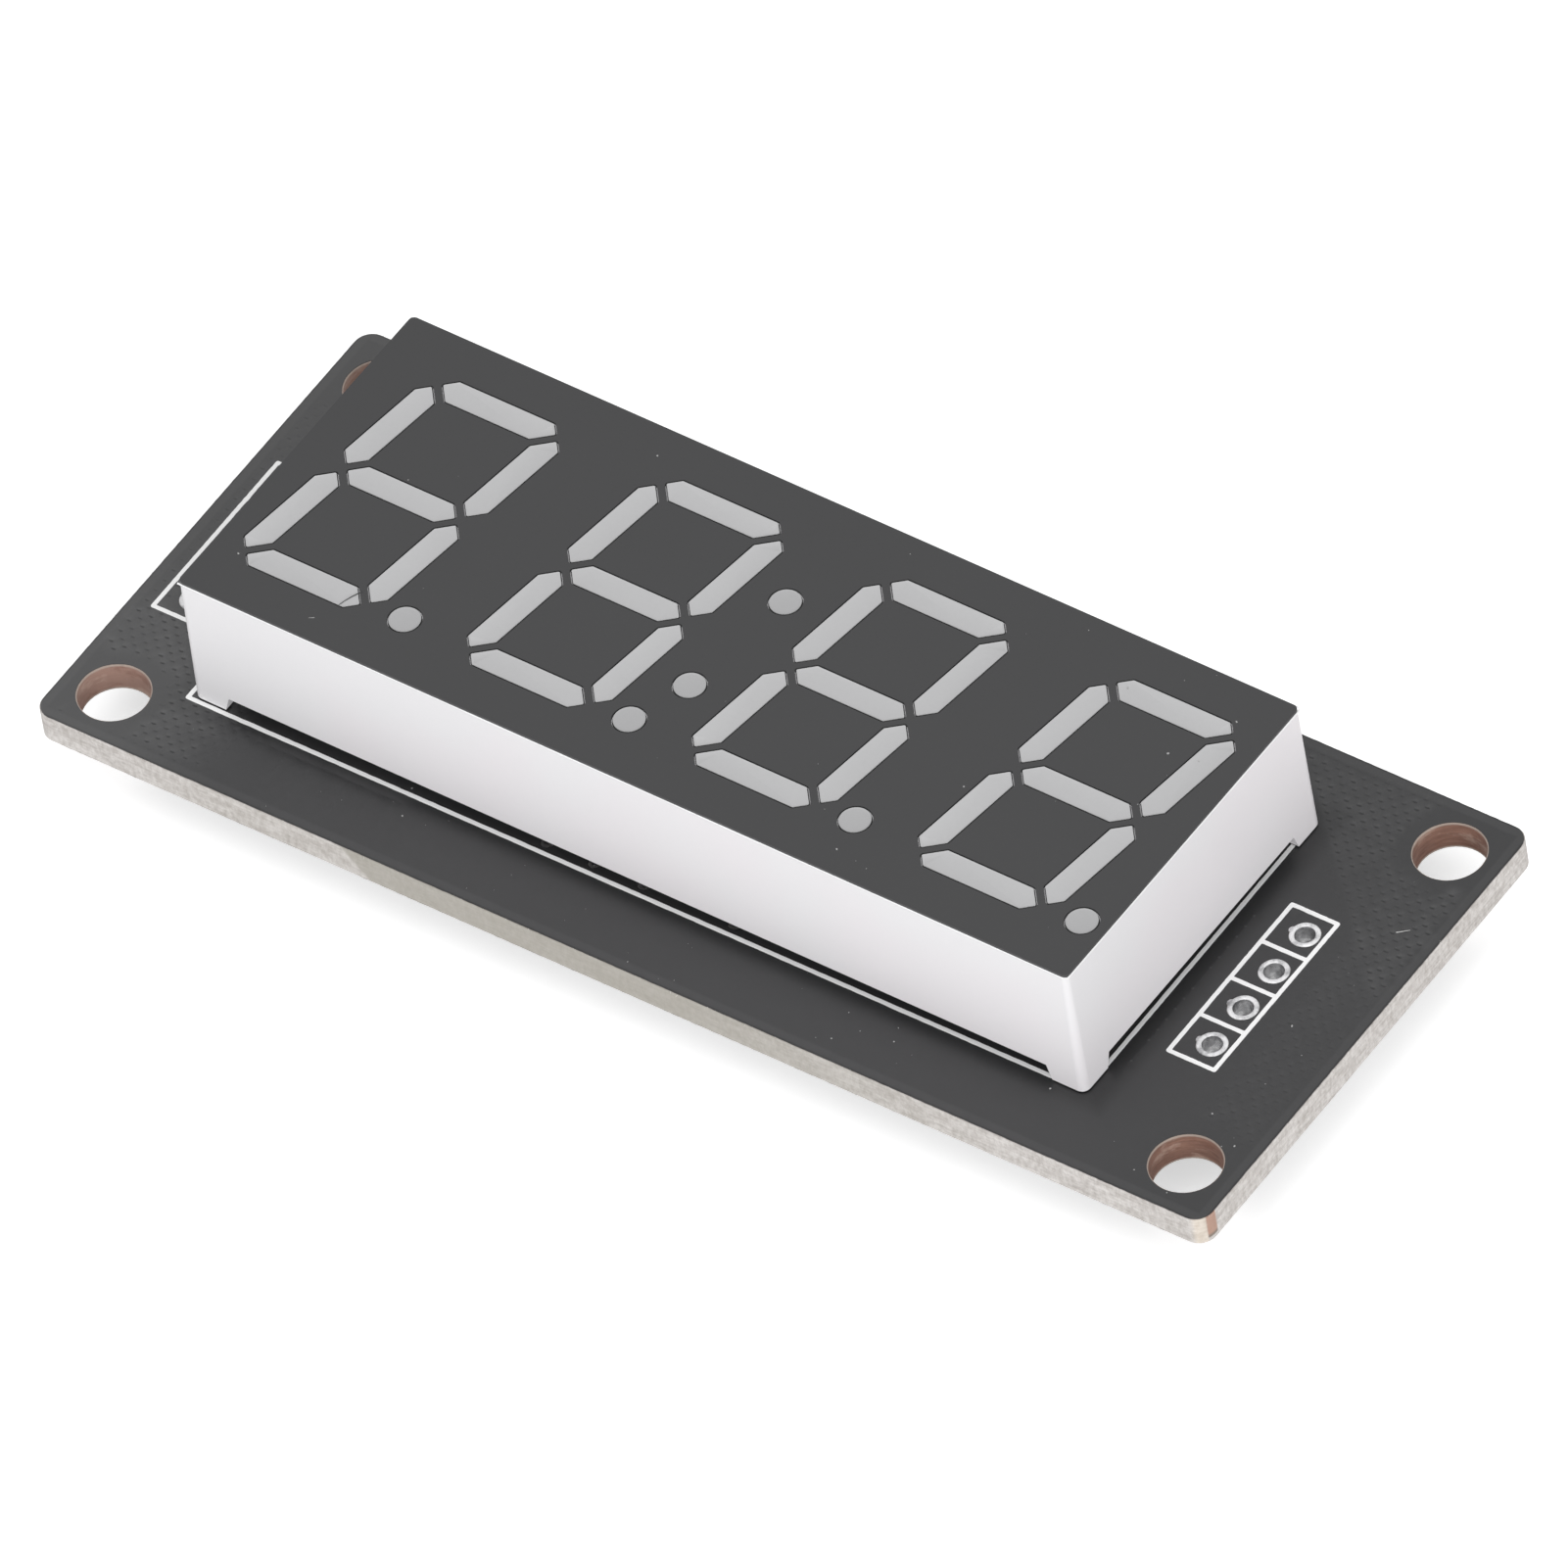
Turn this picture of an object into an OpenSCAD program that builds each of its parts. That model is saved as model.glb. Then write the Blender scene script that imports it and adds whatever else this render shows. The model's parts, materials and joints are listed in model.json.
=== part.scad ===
// Seven segment display module: a four-digit LED clock display soldered to its driver board.
// Millimetres. X runs along the digits, Y towards their tops and Z towards the viewer.
// The origin is under the middle of the board, on the surface that the driver chip rests on.

/* [Circuit board] */
// Length of the board
board_len = 65.7; // [54:0.1:90]
// Width of the board
board_wid = 27.2; // [22.6:0.1:40]
// Thickness of the board
board_t = 1.6; // [0.8:0.1:2.4]
// Radius of the board's corners
board_corner_r = 0.9; // [0.3:0.1:2.5]
// Diameter of the four mounting holes
mount_d = 3.5; // [2.2:0.1:4.3]
// Distance of each mounting hole from both board edges
mount_inset = 2.75; // [2.3:0.05:4]

/* [Header rows] */
// Holes in each header row
header_count = 4; // [2:1:6]
// Distance between header holes
header_pitch = 2.54; // [2:0.01:3]
// Finished diameter of a header hole
header_hole_d = 1.0; // [0.8:0.05:1.2]
// Diameter of the plated ring around a header hole
header_ring_d = 1.5; // [1.4:0.05:1.9]
// Distance of the right row from the right edge
header_right_inset = 5.75; // [2:0.05:7]
// Distance of the left row from the left edge
header_left_inset = 2.75; // [2:0.05:5]
// Middle of both rows, from the middle of the board
header_mid_y = -0.45; // [-2:0.05:2]

/* [Display case] */
// Length of the face
case_len = 50.1; // [50:0.1:62]
// Depth of the face, from the bottom of the digits to their top
case_dep = 18.9; // [18:0.1:24]
// Height of the face above the board
case_h = 8; // [6.6:0.1:12]
// Middle of the case along the board, from the middle of the board
case_x = -1.38; // [-4:0.02:4]
// Middle of the case across the board, from the middle of the board
case_y = 0.12; // [-2:0.02:2]
// Turn of the display on the board, in degrees
case_turn = -0.45; // [-0.6:0.05:0.6]
// How much further each side of the case stands out at the board than at the face
case_draft = 0.14; // [0:0.02:0.3]
// Radius of the face's corners
case_corner_r = 0.3; // [0.2:0.1:1.5]
// Thickness of the case's side walls
case_wall = 0.9; // [0.6:0.05:1.2]
// Height of the corner feet, which is the gap under the case
foot_h = 1.0; // [0.4:0.1:1.2]
// Length of a foot along X
foot_len_x = 1.8; // [1:0.05:3]
// Length of a foot along Y
foot_len_y = 1.8; // [1:0.05:3]
// How much longer a foot is where it joins the case
foot_flare = 0.3; // [0:0.05:0.6]
// Thickness of the dark face film
film_t = 0.15; // [0.05:0.01:0.3]
// Play between a window in the film and the resin that fills it
window_gap = 0.04; // [0.01:0.01:0.06]

/* [Digits] */
// How far the row of digits lies from the middle of the face, along the board
digits_x = 0.04; // [-0.3:0.02:0.3]
// How far the row of digits lies from the middle of the face, across the board
digits_y = 0.04; // [-0.3:0.02:0.3]
// Number of digits
digits = 4; // [4:2:4]
// Distance between digits
digit_pitch = 12.7; // [10.6:0.1:12.8]
// Height of a digit
digit_h = 14.2; // [11.8:0.1:15.2]
// Width of a digit, before it is slanted
digit_w = 8.2; // [6.8:0.1:8.4]
// Width of a segment
seg_t = 1.4; // [1.1:0.05:1.7]
// Gap between two segments
seg_gap = 0.42; // [0.3:0.02:0.6]
// How far the corners' mitres lie outside the segments' middle lines
corner_out = 0.15; // [0:0.05:0.3]
// Radius of a segment's corners
seg_tip_r = 0.12; // [0.02:0.02:0.3]
// Slant of the digits, in degrees
slant = 8.2; // [0:0.1:12]
// Diameter of the decimal points and the colon's dots
dot_d = 1.62; // [1.2:0.02:1.8]
// Distance of a decimal point from its digit's middle line, before slanting
point_x = 5.55; // [5.4:0.05:5.7]
// Distance of each of the colon's dots from the digits' middle line
colon_y = 3.2; // [2.6:0.1:4]

/* [Inside the display] */
// Thickness of the board that carries the LED dies
carrier_t = 1; // [0.6:0.1:1.6]
// Play around that board in the case
carrier_gap = 0.2; // [0.05:0.05:0.4]
// Height of the resin's surface above the case's lower edge
resin_recess = 0.2; // [0.1:0.05:0.5]
// Depth of resin behind the carrier board
resin_depth = 1; // [0.5:0.1:2]
// Size of an LED die
die_size = 0.3; // [0.2:0.02:0.5]
// Length of a light well's floor, as a share of its window's
well_floor_len = 0.6; // [0.4:0.05:1]
// Width of a light well's floor, as a share of its window's
well_floor_wid = 0.8; // [0.5:0.05:1]

/* [Display pins] */
// Pins in each of the two rows
pins_per_row = 7; // [3:2:9]
// Distance between pins
pin_pitch = 2.54; // [2.1:0.01:2.7]
// Distance between the two rows
pin_rows = 15.24; // [12.7:0.01:16]
// Diameter of a pin
pin_d = 0.5; // [0.4:0.05:0.6]
// Finished diameter of a pin's hole in the board
pin_hole_d = 0.8; // [0.7:0.05:1]
// Diameter of the plated ring around a pin's hole
pin_ring_d = 1.6; // [1.3:0.05:1.8]
// Length of a pin below the board
pin_tail = 1.4; // [0.8:0.1:1.9]
// Height of the solder on a pin
pin_solder_h = 0.9; // [0.4:0.1:1.3]

/* [Driver chip] */
// Length of the chip's case
chip_len = 12.8; // [12.6:0.1:16]
// Width of the chip's case
chip_wid = 7.5; // [6.2:0.1:9]
// Thickness of the chip's case
chip_t = 2.3; // [2:0.1:3]
// Gap between the chip's case and the board
chip_gap = 0.15; // [0.1:0.05:0.3]
// Leads on each side of the chip
leads_per_side = 10; // [4:1:10]
// Distance between leads
lead_pitch = 1.27; // [1:0.01:1.27]
// Width of a lead
lead_w = 0.42; // [0.3:0.02:0.5]
// Thickness of a lead
lead_t = 0.25; // [0.15:0.01:0.3]
// Distance that a lead's foot reaches out from the chip's case
lead_reach = 1.4; // [1.2:0.05:1.8]

/* [Small parts] */
// Thickness of the plating in a hole
plating = 0.05; // [0.02:0.01:0.06]
// Thickness of a land on the board
land_t = 0.05; // [0.02:0.01:0.08]
// Thickness of the solder under a part
solder_t = 0.04; // [0.02:0.01:0.06]
// Thickness of the metal end caps of resistors and capacitors
end_t = 0.03; // [0.02:0.01:0.05]
// Diameter of a via's hole
via_d = 0.3; // [0.2:0.05:0.4]
// Diameter of the ring around a via
via_ring_d = 0.62; // [0.5:0.02:0.7]

/* [Hidden] */
$fn = 48;
OVER = 1; // how far a cutting shape runs past the face that it cuts

// Heights above the surface that the module rests on
board_z = chip_gap + chip_t;
board_top = board_z + board_t;

// Heights above the board's upper face
resin_z = foot_h + resin_recess;
carrier_z = resin_z + resin_depth;
well_z = carrier_z + carrier_t;
film_z = case_h - film_t;

// The case's pocket, which holds the carrier board and the resin
pocket_len = case_len - 2 * case_wall;
pocket_dep = case_dep - 2 * case_wall;
pocket_corner_r = 0.3;
die_rise = 0.6; // height of an LED die, as a share of its size

// Middle lines of a digit's bars, and how far a segment's point stays from where they meet
bar_x = (digit_w - seg_t) / 2;
bar_y = (digit_h - seg_t) / 2;
point_back = seg_gap / sqrt(2);
digit_xs = [for (i = [0 : digits - 1]) (i - (digits - 1) / 2) * digit_pitch];
point_y = (dot_d - digit_h) / 2;

header_right_x = board_len / 2 - header_right_inset;
header_left_x = header_left_inset - board_len / 2;
TAIL_LESS_HOLE = header_count - 2; // the right row's hole that has no tail, counted from the lowest
tail_d = 0.4;
tail_out = 0.12; // how far the tail reaches past the ring

// Vias, each by its place in the pin rows' pitch and how far it lies outside its row
VIA_STEPS = [[-2.2, -1], [-1.15, -1], [-0.05, -1], [1.95, -1], [-2.5, 1], [-0.5, 1], [1.5, 1]];
via_gap = 0.17; // between a via's ring and a pin's
via_out = (pin_ring_d + via_ring_d) / 2 + via_gap;

// Driver chip: heights and bends of a lead, and its lands
lead_bend_r = 0.2; // inside radius
lead_z = chip_gap + chip_t / 2;
lead_inside = 0.6; // how far a lead runs into the chip's case
lead_foot = 0.62; // length of the flat foot
foot_z = land_t + solder_t;
lead_land_side = 0.08; // how far a land stands out beside a lead
lead_land_in = 0.15; // past its heel
lead_land_out = 0.4; // and past its toe
lead_land_w = lead_w + 2 * lead_land_side;
chip_draft = 0.12; // how far the case's sides lean in above and below their parting line
paddle = [5.2, 3.6, lead_t];
die = [3.1, 2.4, 0.35];
pin_one_d = 1;
pin_one_deep = 0.08;
pin_one_in = 1.3; // distance of the mark's middle from the case's edges

// Solder on a lead: how far it stands out beside the lead and behind its heel, how far it runs
// towards the end of the land, and its heights at the toe, on the foot and at the heel
solder_side = 0.03;
solder_back = 0.02;
solder_run = 0.8;
SOLDER_RISE = [0.7, 0.4, 0.9]; // as shares of the lead's thickness

// Resistors and capacitors: [length, width, height, end cap length]
SMALL_CAP = [1.6, 0.8, 0.8, 0.35];
BULK_CAP = [3.2, 1.6, 1.5, 0.5];
RESISTOR = [1.6, 0.8, 0.45, 0.3];
glaze_t = 0.03;
passive_land_out = 0.45;
// Solder on their ends, as shares of the body's height and width and of the land's length
joint_rise = 0.6;
joint_wid = 0.96;
joint_run = 0.85;
JOINT_KNEE = [0.3, 0.35]; // out along the land, and up as a share of the rise
// Their places, [x from the chip's middle, y, turn], and what each is
SMALL_CAPS = [[11.4, -3, 90], [14, -3, 90], [-10.6, 3, 90]];
BULK_CAPS = [[-12.2, -2.4, 90]];
RESISTORS = [[11.4, 3, 90], [14, 3, 90]];
chip_x = case_x;
chip_y = case_y;

// ---- Shared shapes ----

module rounded_rect(len, wid, r) {
    square([len - 2 * r, wid], center = true);
    square([len, wid - 2 * r], center = true);
    for (x = [-1, 1], y = [-1, 1]) translate([x * (len / 2 - r), y * (wid / 2 - r)]) circle(r);
}

// An outline in Y and Z made into a strip of width w, centred on X
module strip(w) {
    translate([-w / 2, 0, 0]) rotate([90, 0, 90]) linear_extrude(w) children();
}

module at_four_corners() {
    for (x = [0, 1], y = [0, 1]) mirror([x, 0, 0]) mirror([0, y, 0]) children();
}

// A frame on the board's upper face at the middle of the display, turned with it
module on_board() {
    translate([case_x, case_y, board_top]) rotate([0, 0, case_turn]) children();
}

// A frame on the board's lower face at the middle of the chip, with Z pointing down
module under_board() {
    translate([chip_x, chip_y, board_z]) rotate([180, 0, 0]) children();
}

module at_mounts() {
    for (x = [-1, 1], y = [-1, 1])
        translate([x * (board_len / 2 - mount_inset), y * (board_wid / 2 - mount_inset), board_z]) children();
}

function header_y(i) = header_mid_y + (i - (header_count - 1) / 2) * header_pitch;

module at_header(x) {
    for (i = [0 : header_count - 1]) translate([x, header_y(i), board_z]) children();
}

module at_pin_places() {
    for (i = [0 : pins_per_row - 1], side = [-1, 1])
        translate([(i - (pins_per_row - 1) / 2) * pin_pitch, side * pin_rows / 2, 0]) children();
}

// The pins' holes in the board, which stand straight on it
module at_pin_holes() {
    translate([case_x, case_y, board_z]) at_pin_places() children();
}

module at_vias() {
    for (v = VIA_STEPS)
        translate([case_x + v[0] * pin_pitch, case_y + v[1] * (pin_rows / 2 + via_out), board_z]) children();
}

module drill(d) {
    translate([0, 0, -OVER]) cylinder(d = d, h = board_t + 2 * OVER);
}

// A hole's plating, with a ring on both faces of the board
module plated_hole(hole_d, ring_d, tail = false) {
    difference() {
        union() {
            cylinder(d = hole_d + 2 * plating, h = board_t);
            for (z = [-land_t, board_t]) translate([0, 0, z]) cylinder(d = ring_d, h = land_t);
            if (tail)
                translate([tail_d / 2 - ring_d / 2 - tail_out, 0, board_t]) cylinder(d = tail_d, h = land_t);
        }
        drill(hole_d);
    }
}

// ---- Segments ----

// A bar with 45 degree points: along from s0 to s1, its middle line at c, and its points at a0 and a1 across
function bar(c, s0, a0, s1, a1) =
    let (hi = c + seg_t / 2, lo = c - seg_t / 2)
    [[s0, a0], [s0 + hi - a0, hi], [s1 - hi + a1, hi], [s1, a1], [s1 - a1 + lo, lo], [s0 + a0 - lo, lo]];

function level_bar(side) =
    let (reach = bar_x + abs(side) * corner_out - point_back, y = side * (bar_y + corner_out))
    bar(side * bar_y, -reach, y, reach, y);

function upright_bar(side_x, side_y) =
    let (top = bar_y + corner_out - point_back)
    [for (p = bar(side_x * bar_x, point_back, side_x * bar_x, top, side_x * (bar_x + corner_out)))
        [p[1], side_y * p[0]]];

function slanted(points) = [for (p = points) [digits_x + p[0] + p[1] * tan(slant), digits_y + p[1]]];

function middle(points) = [for (axis = [0, 1]) (points[0][axis] + points[3][axis]) / 2];

LEVEL_BARS = [for (side = [-1, 0, 1]) slanted(level_bar(side))];
UPRIGHT_BARS = [for (x = [-1, 1], y = [-1, 1]) slanted(upright_bar(x, y))];

// Dots: one decimal point after each digit, and the colon's two
POINTS = slanted([for (x = digit_xs) [x + point_x, point_y]]);
COLON = slanted([for (side = [-1, 1]) [0, side * colon_y]]);
DOTS = concat(POINTS, COLON);

module window(points, grow) {
    offset(r = seg_tip_r + grow, $fn = 24) offset(delta = -seg_tip_r) polygon(points);
}

module segment_windows(grow = 0) {
    for (x = digit_xs, points = concat(LEVEL_BARS, UPRIGHT_BARS)) translate([x, 0]) window(points, grow);
}

// A well narrows from its window down to its floor
module well(points, floor_share) {
    centre = middle(points);
    translate([centre[0], centre[1], film_z]) mirror([0, 0, 1])
        linear_extrude(film_z - well_z, scale = floor_share, slices = 1, segments = 0)
            translate(-centre) polygon(points);
}

module segment_wells() {
    for (x = digit_xs) translate([x, 0, 0]) {
        for (points = LEVEL_BARS) well(points, [well_floor_len, well_floor_wid]);
        for (points = UPRIGHT_BARS) well(points, [well_floor_wid, well_floor_len]);
    }
}

module dot_wells() {
    for (p = DOTS) translate([p[0], p[1], well_z])
        cylinder(d1 = dot_d * well_floor_wid, d2 = dot_d, h = film_z - well_z);
}

module dies_at(places) {
    for (p = places) translate([p[0] - die_size / 2, p[1] - die_size / 2, well_z])
        cube([die_size, die_size, die_size * die_rise]);
}

SEGMENT_MIDDLES = [for (x = digit_xs, points = concat(LEVEL_BARS, UPRIGHT_BARS)) middle(points) + [x, 0]];

// ---- The board and what is plated on it ----

module printed_circuit_board() {
    color([0.22, 0.22, 0.23]) difference() {
        translate([0, 0, board_z]) linear_extrude(board_t) rounded_rect(board_len, board_wid, board_corner_r);
        at_mounts() drill(mount_d);
        for (x = [header_left_x, header_right_x]) at_header(x) drill(header_hole_d + 2 * plating);
        at_pin_holes() drill(pin_hole_d + 2 * plating);
        at_vias() drill(via_d + 2 * plating);
    }
}

module header_lands_right() {
    color("silver") for (i = [0 : header_count - 1])
        translate([header_right_x, header_y(i), board_z])
            plated_hole(header_hole_d, header_ring_d, i != TAIL_LESS_HOLE);
}

module header_lands_left() {
    color("silver") at_header(header_left_x) plated_hole(header_hole_d, header_ring_d);
}

module pin_lands() {
    color("silver") at_pin_holes() plated_hole(pin_hole_d, pin_ring_d);
}

module via_barrels() {
    color("silver") at_vias() plated_hole(via_d, via_ring_d);
}

module surface_lands() {
    color("silver") under_board() {
        at_leads() lead_land();
        at_passives(SMALL_CAPS) passive_lands(SMALL_CAP);
        at_passives(BULK_CAPS) passive_lands(BULK_CAP);
        at_passives(RESISTORS) passive_lands(RESISTOR);
    }
}

// ---- The display ----

// How far the case's sides stand out from the face's at a height
function side_out(z) = case_draft * (1 - z / film_z);

// A side view of the case between two heights
function case_side(half, z0, z1) = [
    [-half - side_out(z0), z0], [half + side_out(z0), z0], [half + side_out(z1), z1], [-half - side_out(z1), z1]
];

// The case between two heights. Its sides lean in towards the face, and its upright edges are parts of cones
module case_block(z0, z1) {
    flat_len = case_len - 2 * case_corner_r;
    flat_dep = case_dep - 2 * case_corner_r;
    rotate([0, 0, 90]) strip(flat_dep) polygon(case_side(case_len / 2, z0, z1));
    strip(flat_len) polygon(case_side(case_dep / 2, z0, z1));
    for (x = [-1, 1], y = [-1, 1]) translate([x * flat_len / 2, y * flat_dep / 2, z0])
        cylinder(r1 = case_corner_r + side_out(z0), r2 = case_corner_r + side_out(z1), h = z1 - z0);
}

// A side view of a foot and of what lies beyond it, from the case's lower corner at half
function foot_side(half, len) = [
    [-half - OVER, -OVER], [len - half, -OVER], [len - half, 0],
    [len - half + foot_flare, foot_h], [len - half + foot_flare, foot_h + OVER], [-half - OVER, foot_h + OVER]
];

module foot() {
    half = [case_len / 2 + side_out(0), case_dep / 2 + side_out(0)];
    intersection() {
        case_block(0, foot_h);
        strip(case_len + 2 * OVER) polygon(foot_side(half[1], foot_len_y));
        mirror([1, -1, 0]) strip(case_dep + 2 * OVER) polygon(foot_side(half[0], foot_len_x));
    }
}

module pocket(from_z, to_z, play = 0) {
    translate([0, 0, from_z]) linear_extrude(to_z - from_z)
        rounded_rect(pocket_len - 2 * play, pocket_dep - 2 * play, pocket_corner_r);
}

module display_housing() {
    color([0.93, 0.93, 0.94]) on_board() difference() {
        union() {
            case_block(foot_h, film_z);
            at_four_corners() foot();
        }
        difference() {
            pocket(foot_h - OVER, well_z);
            at_four_corners() foot();
        }
        segment_wells();
        dot_wells();
    }
}

module face_film() {
    color([0.31, 0.31, 0.32]) on_board() translate([0, 0, film_z]) linear_extrude(film_t) difference() {
        rounded_rect(case_len, case_dep, case_corner_r);
        segment_windows(window_gap);
        for (p = DOTS) translate(p) circle(d = dot_d + 2 * window_gap);
    }
}

module segment_guides() {
    color([0.78, 0.78, 0.79]) on_board() difference() {
        union() {
            segment_wells();
            translate([0, 0, film_z]) linear_extrude(film_t) segment_windows();
        }
        dies_at(SEGMENT_MIDDLES);
    }
}

module dot_guides() {
    color([0.72, 0.72, 0.73]) on_board() difference() {
        union() {
            dot_wells();
            for (p = DOTS) translate([p[0], p[1], film_z]) cylinder(d = dot_d, h = film_t);
        }
        dies_at(DOTS);
    }
}

module display_pins() {
    color("silver") on_board() at_pin_places() translate([0, 0, -board_t - pin_tail])
        cylinder(d = pin_d, h = pin_tail + board_t + well_z);
}

module led_carrier() {
    color([0.85, 0.82, 0.68]) difference() {
        on_board() pocket(carrier_z, well_z, carrier_gap);
        display_pins();
    }
}

module resin_backfill() {
    color([0.88, 0.88, 0.84]) difference() {
        on_board() difference() {
            pocket(resin_z, well_z);
            pocket(carrier_z, well_z + OVER, carrier_gap);
        }
        display_pins();
    }
}

module led_dies() {
    color([0.85, 0.75, 0.3]) on_board() dies_at(concat(SEGMENT_MIDDLES, DOTS));
}

// Solder fills a pin's hole around the turned display's pin and climbs it below the board in a hollow curve
module pin_solder() {
    ring_r = pin_ring_d / 2;
    pin_r = pin_d / 2;
    steps = 6;
    curve = [for (i = [0 : steps])
        let (a = 90 * i / steps)
        [ring_r - (ring_r - pin_r) * sin(a), -land_t - pin_solder_h * (1 - cos(a))]];
    color([0.72, 0.73, 0.75]) difference() {
        at_pin_holes() rotate_extrude() polygon(concat(
            [[0, board_t + land_t], [pin_hole_d / 2, board_t + land_t], [pin_hole_d / 2, -land_t]],
            curve, [[0, -land_t - pin_solder_h]]));
        display_pins();
    }
}

// ---- The driver chip, in a frame whose Z points away from the board ----

function arc(c, r, from, to, steps = 5) =
    [for (i = [0 : steps]) let (a = from + (to - from) * i / steps) c + r * [cos(a), sin(a)]];

// Side view of a lead: out of the case, down to the board and along it
bend_out = chip_wid / 2 + lead_reach - lead_foot - 2 * lead_bend_r - lead_t;
upper_bend = [bend_out, lead_z - lead_t / 2 - lead_bend_r];
lower_bend = [bend_out + 2 * lead_bend_r + lead_t, foot_z + lead_t + lead_bend_r];
lead_tip = chip_wid / 2 + lead_reach;
LEAD_OUTLINE = concat(
    [[chip_wid / 2 - lead_inside, lead_z + lead_t / 2]],
    arc(upper_bend, lead_bend_r + lead_t, 90, 0),
    arc(lower_bend, lead_bend_r, 180, 270),
    [[lead_tip, foot_z + lead_t], [lead_tip, foot_z]],
    arc(lower_bend, lead_bend_r + lead_t, 270, 180),
    arc(upper_bend, lead_bend_r, 0, 90),
    [[chip_wid / 2 - lead_inside, lead_z - lead_t / 2]]
);
lead_heel = lower_bend[0] - lead_bend_r - lead_t;

module at_leads() {
    for (turn = [0, 180], i = [0 : leads_per_side - 1])
        rotate([0, 0, turn]) translate([(i - (leads_per_side - 1) / 2) * lead_pitch, 0, 0]) children();
}

module lead() {
    strip(lead_w) polygon(LEAD_OUTLINE);
}

module lead_land() {
    strip(lead_land_w) polygon([
        [lead_heel - lead_land_in, 0], [lead_tip + lead_land_out, 0],
        [lead_tip + lead_land_out, land_t], [lead_heel - lead_land_in, land_t]
    ]);
}

module driver_leads() {
    color("silver") under_board() at_leads() lead();
}

module driver_solder() {
    color([0.72, 0.73, 0.75]) under_board() at_leads() difference() {
        strip(lead_w + 2 * solder_side) polygon([
            [lead_heel - lead_land_in, land_t], [lead_tip + lead_land_out * solder_run, land_t],
            [lead_tip, foot_z + lead_t * SOLDER_RISE[0]],
            [lead_heel + lead_bend_r, foot_z + lead_t * SOLDER_RISE[1]],
            [lead_heel - solder_back, foot_z + lead_t * SOLDER_RISE[2]]
        ]);
        lead();
    }
}

module paddle_block() {
    translate([-paddle[0] / 2, -paddle[1] / 2, lead_z - lead_t / 2]) cube(paddle);
}

module die_block() {
    translate([-die[0] / 2, -die[1] / 2, lead_z + lead_t / 2]) cube(die);
}

// One side view of the case: it leans in above and below the parting line
function chip_side(half) = [
    [-half + chip_draft, chip_gap], [half - chip_draft, chip_gap], [half, lead_z],
    [half - chip_draft, chip_gap + chip_t], [chip_draft - half, chip_gap + chip_t], [-half, lead_z]
];

module driver_case() {
    color([0.13, 0.13, 0.14]) under_board() difference() {
        intersection() {
            strip(chip_len + OVER) polygon(chip_side(chip_wid / 2));
            rotate([0, 0, 90]) strip(chip_wid + OVER) polygon(chip_side(chip_len / 2));
        }
        at_leads() lead();
        paddle_block();
        die_block();
        translate([pin_one_in - chip_len / 2, pin_one_in - chip_wid / 2, chip_gap + chip_t - pin_one_deep])
            cylinder(d = pin_one_d, h = OVER);
    }
}

module driver_paddle() {
    color([0.72, 0.45, 0.3]) under_board() paddle_block();
}

module driver_die() {
    color([0.35, 0.36, 0.4]) under_board() die_block();
}

// ---- Resistors and capacitors, in the same frame ----

module at_passives(places) {
    for (p = places) translate([p[0], p[1], 0]) rotate([0, 0, p[2]]) children();
}

module block(len, wid, from_z, height) {
    translate([-len / 2, -wid / 2, from_z]) cube([len, wid, height]);
}

// The body inside the end caps, and the caps wrapped around its ends
module passive_body(size) {
    block(size[0] - 2 * end_t, size[1] - 2 * end_t, foot_z + end_t, size[2] - 2 * end_t);
}

module passive_ends(size) {
    difference() {
        block(size[0], size[1], foot_z, size[2]);
        passive_body(size);
        block(size[0] - 2 * size[3], size[1] + OVER, foot_z - OVER, size[2] + 2 * OVER);
    }
}

module passive_lands(size) {
    for (turn = [0, 180]) rotate([0, 0, turn])
        translate([size[0] / 2 - size[3], -size[1] / 2, 0]) cube([size[3] + passive_land_out, size[1], land_t]);
}

module passive_joints(size) {
    end_x = size[0] / 2;
    rise = size[2] * joint_rise;
    knee = [end_x + passive_land_out * JOINT_KNEE[0], foot_z + rise * JOINT_KNEE[1]];
    for (turn = [0, 180]) rotate([0, 0, turn]) rotate([90, 0, 0])
        linear_extrude(size[1] * joint_wid, center = true) polygon([
            [end_x - size[3], land_t], [end_x + passive_land_out * joint_run, land_t],
            knee, [end_x, foot_z + rise], [end_x, foot_z], [end_x - size[3], foot_z]
        ]);
}

module capacitor_bodies() {
    color([0.68, 0.56, 0.42]) under_board() {
        at_passives(SMALL_CAPS) passive_body(SMALL_CAP);
        at_passives(BULK_CAPS) passive_body(BULK_CAP);
    }
}

module capacitor_ends() {
    color("silver") under_board() {
        at_passives(SMALL_CAPS) passive_ends(SMALL_CAP);
        at_passives(BULK_CAPS) passive_ends(BULK_CAP);
    }
}

module resistor_bodies() {
    color([0.92, 0.92, 0.9]) under_board() at_passives(RESISTORS) passive_body(RESISTOR);
}

// The dark glass over the resistive film, between the end caps
module resistor_glaze() {
    color([0.1, 0.1, 0.11]) under_board() at_passives(RESISTORS)
        block(RESISTOR[0] - 2 * RESISTOR[3], RESISTOR[1] - 2 * end_t, foot_z + RESISTOR[2] - end_t, glaze_t);
}

module resistor_ends() {
    color("silver") under_board() at_passives(RESISTORS) passive_ends(RESISTOR);
}

module passive_solder() {
    color([0.72, 0.73, 0.75]) under_board() {
        at_passives(SMALL_CAPS) passive_joints(SMALL_CAP);
        at_passives(BULK_CAPS) passive_joints(BULK_CAP);
        at_passives(RESISTORS) passive_joints(RESISTOR);
    }
}

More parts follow.
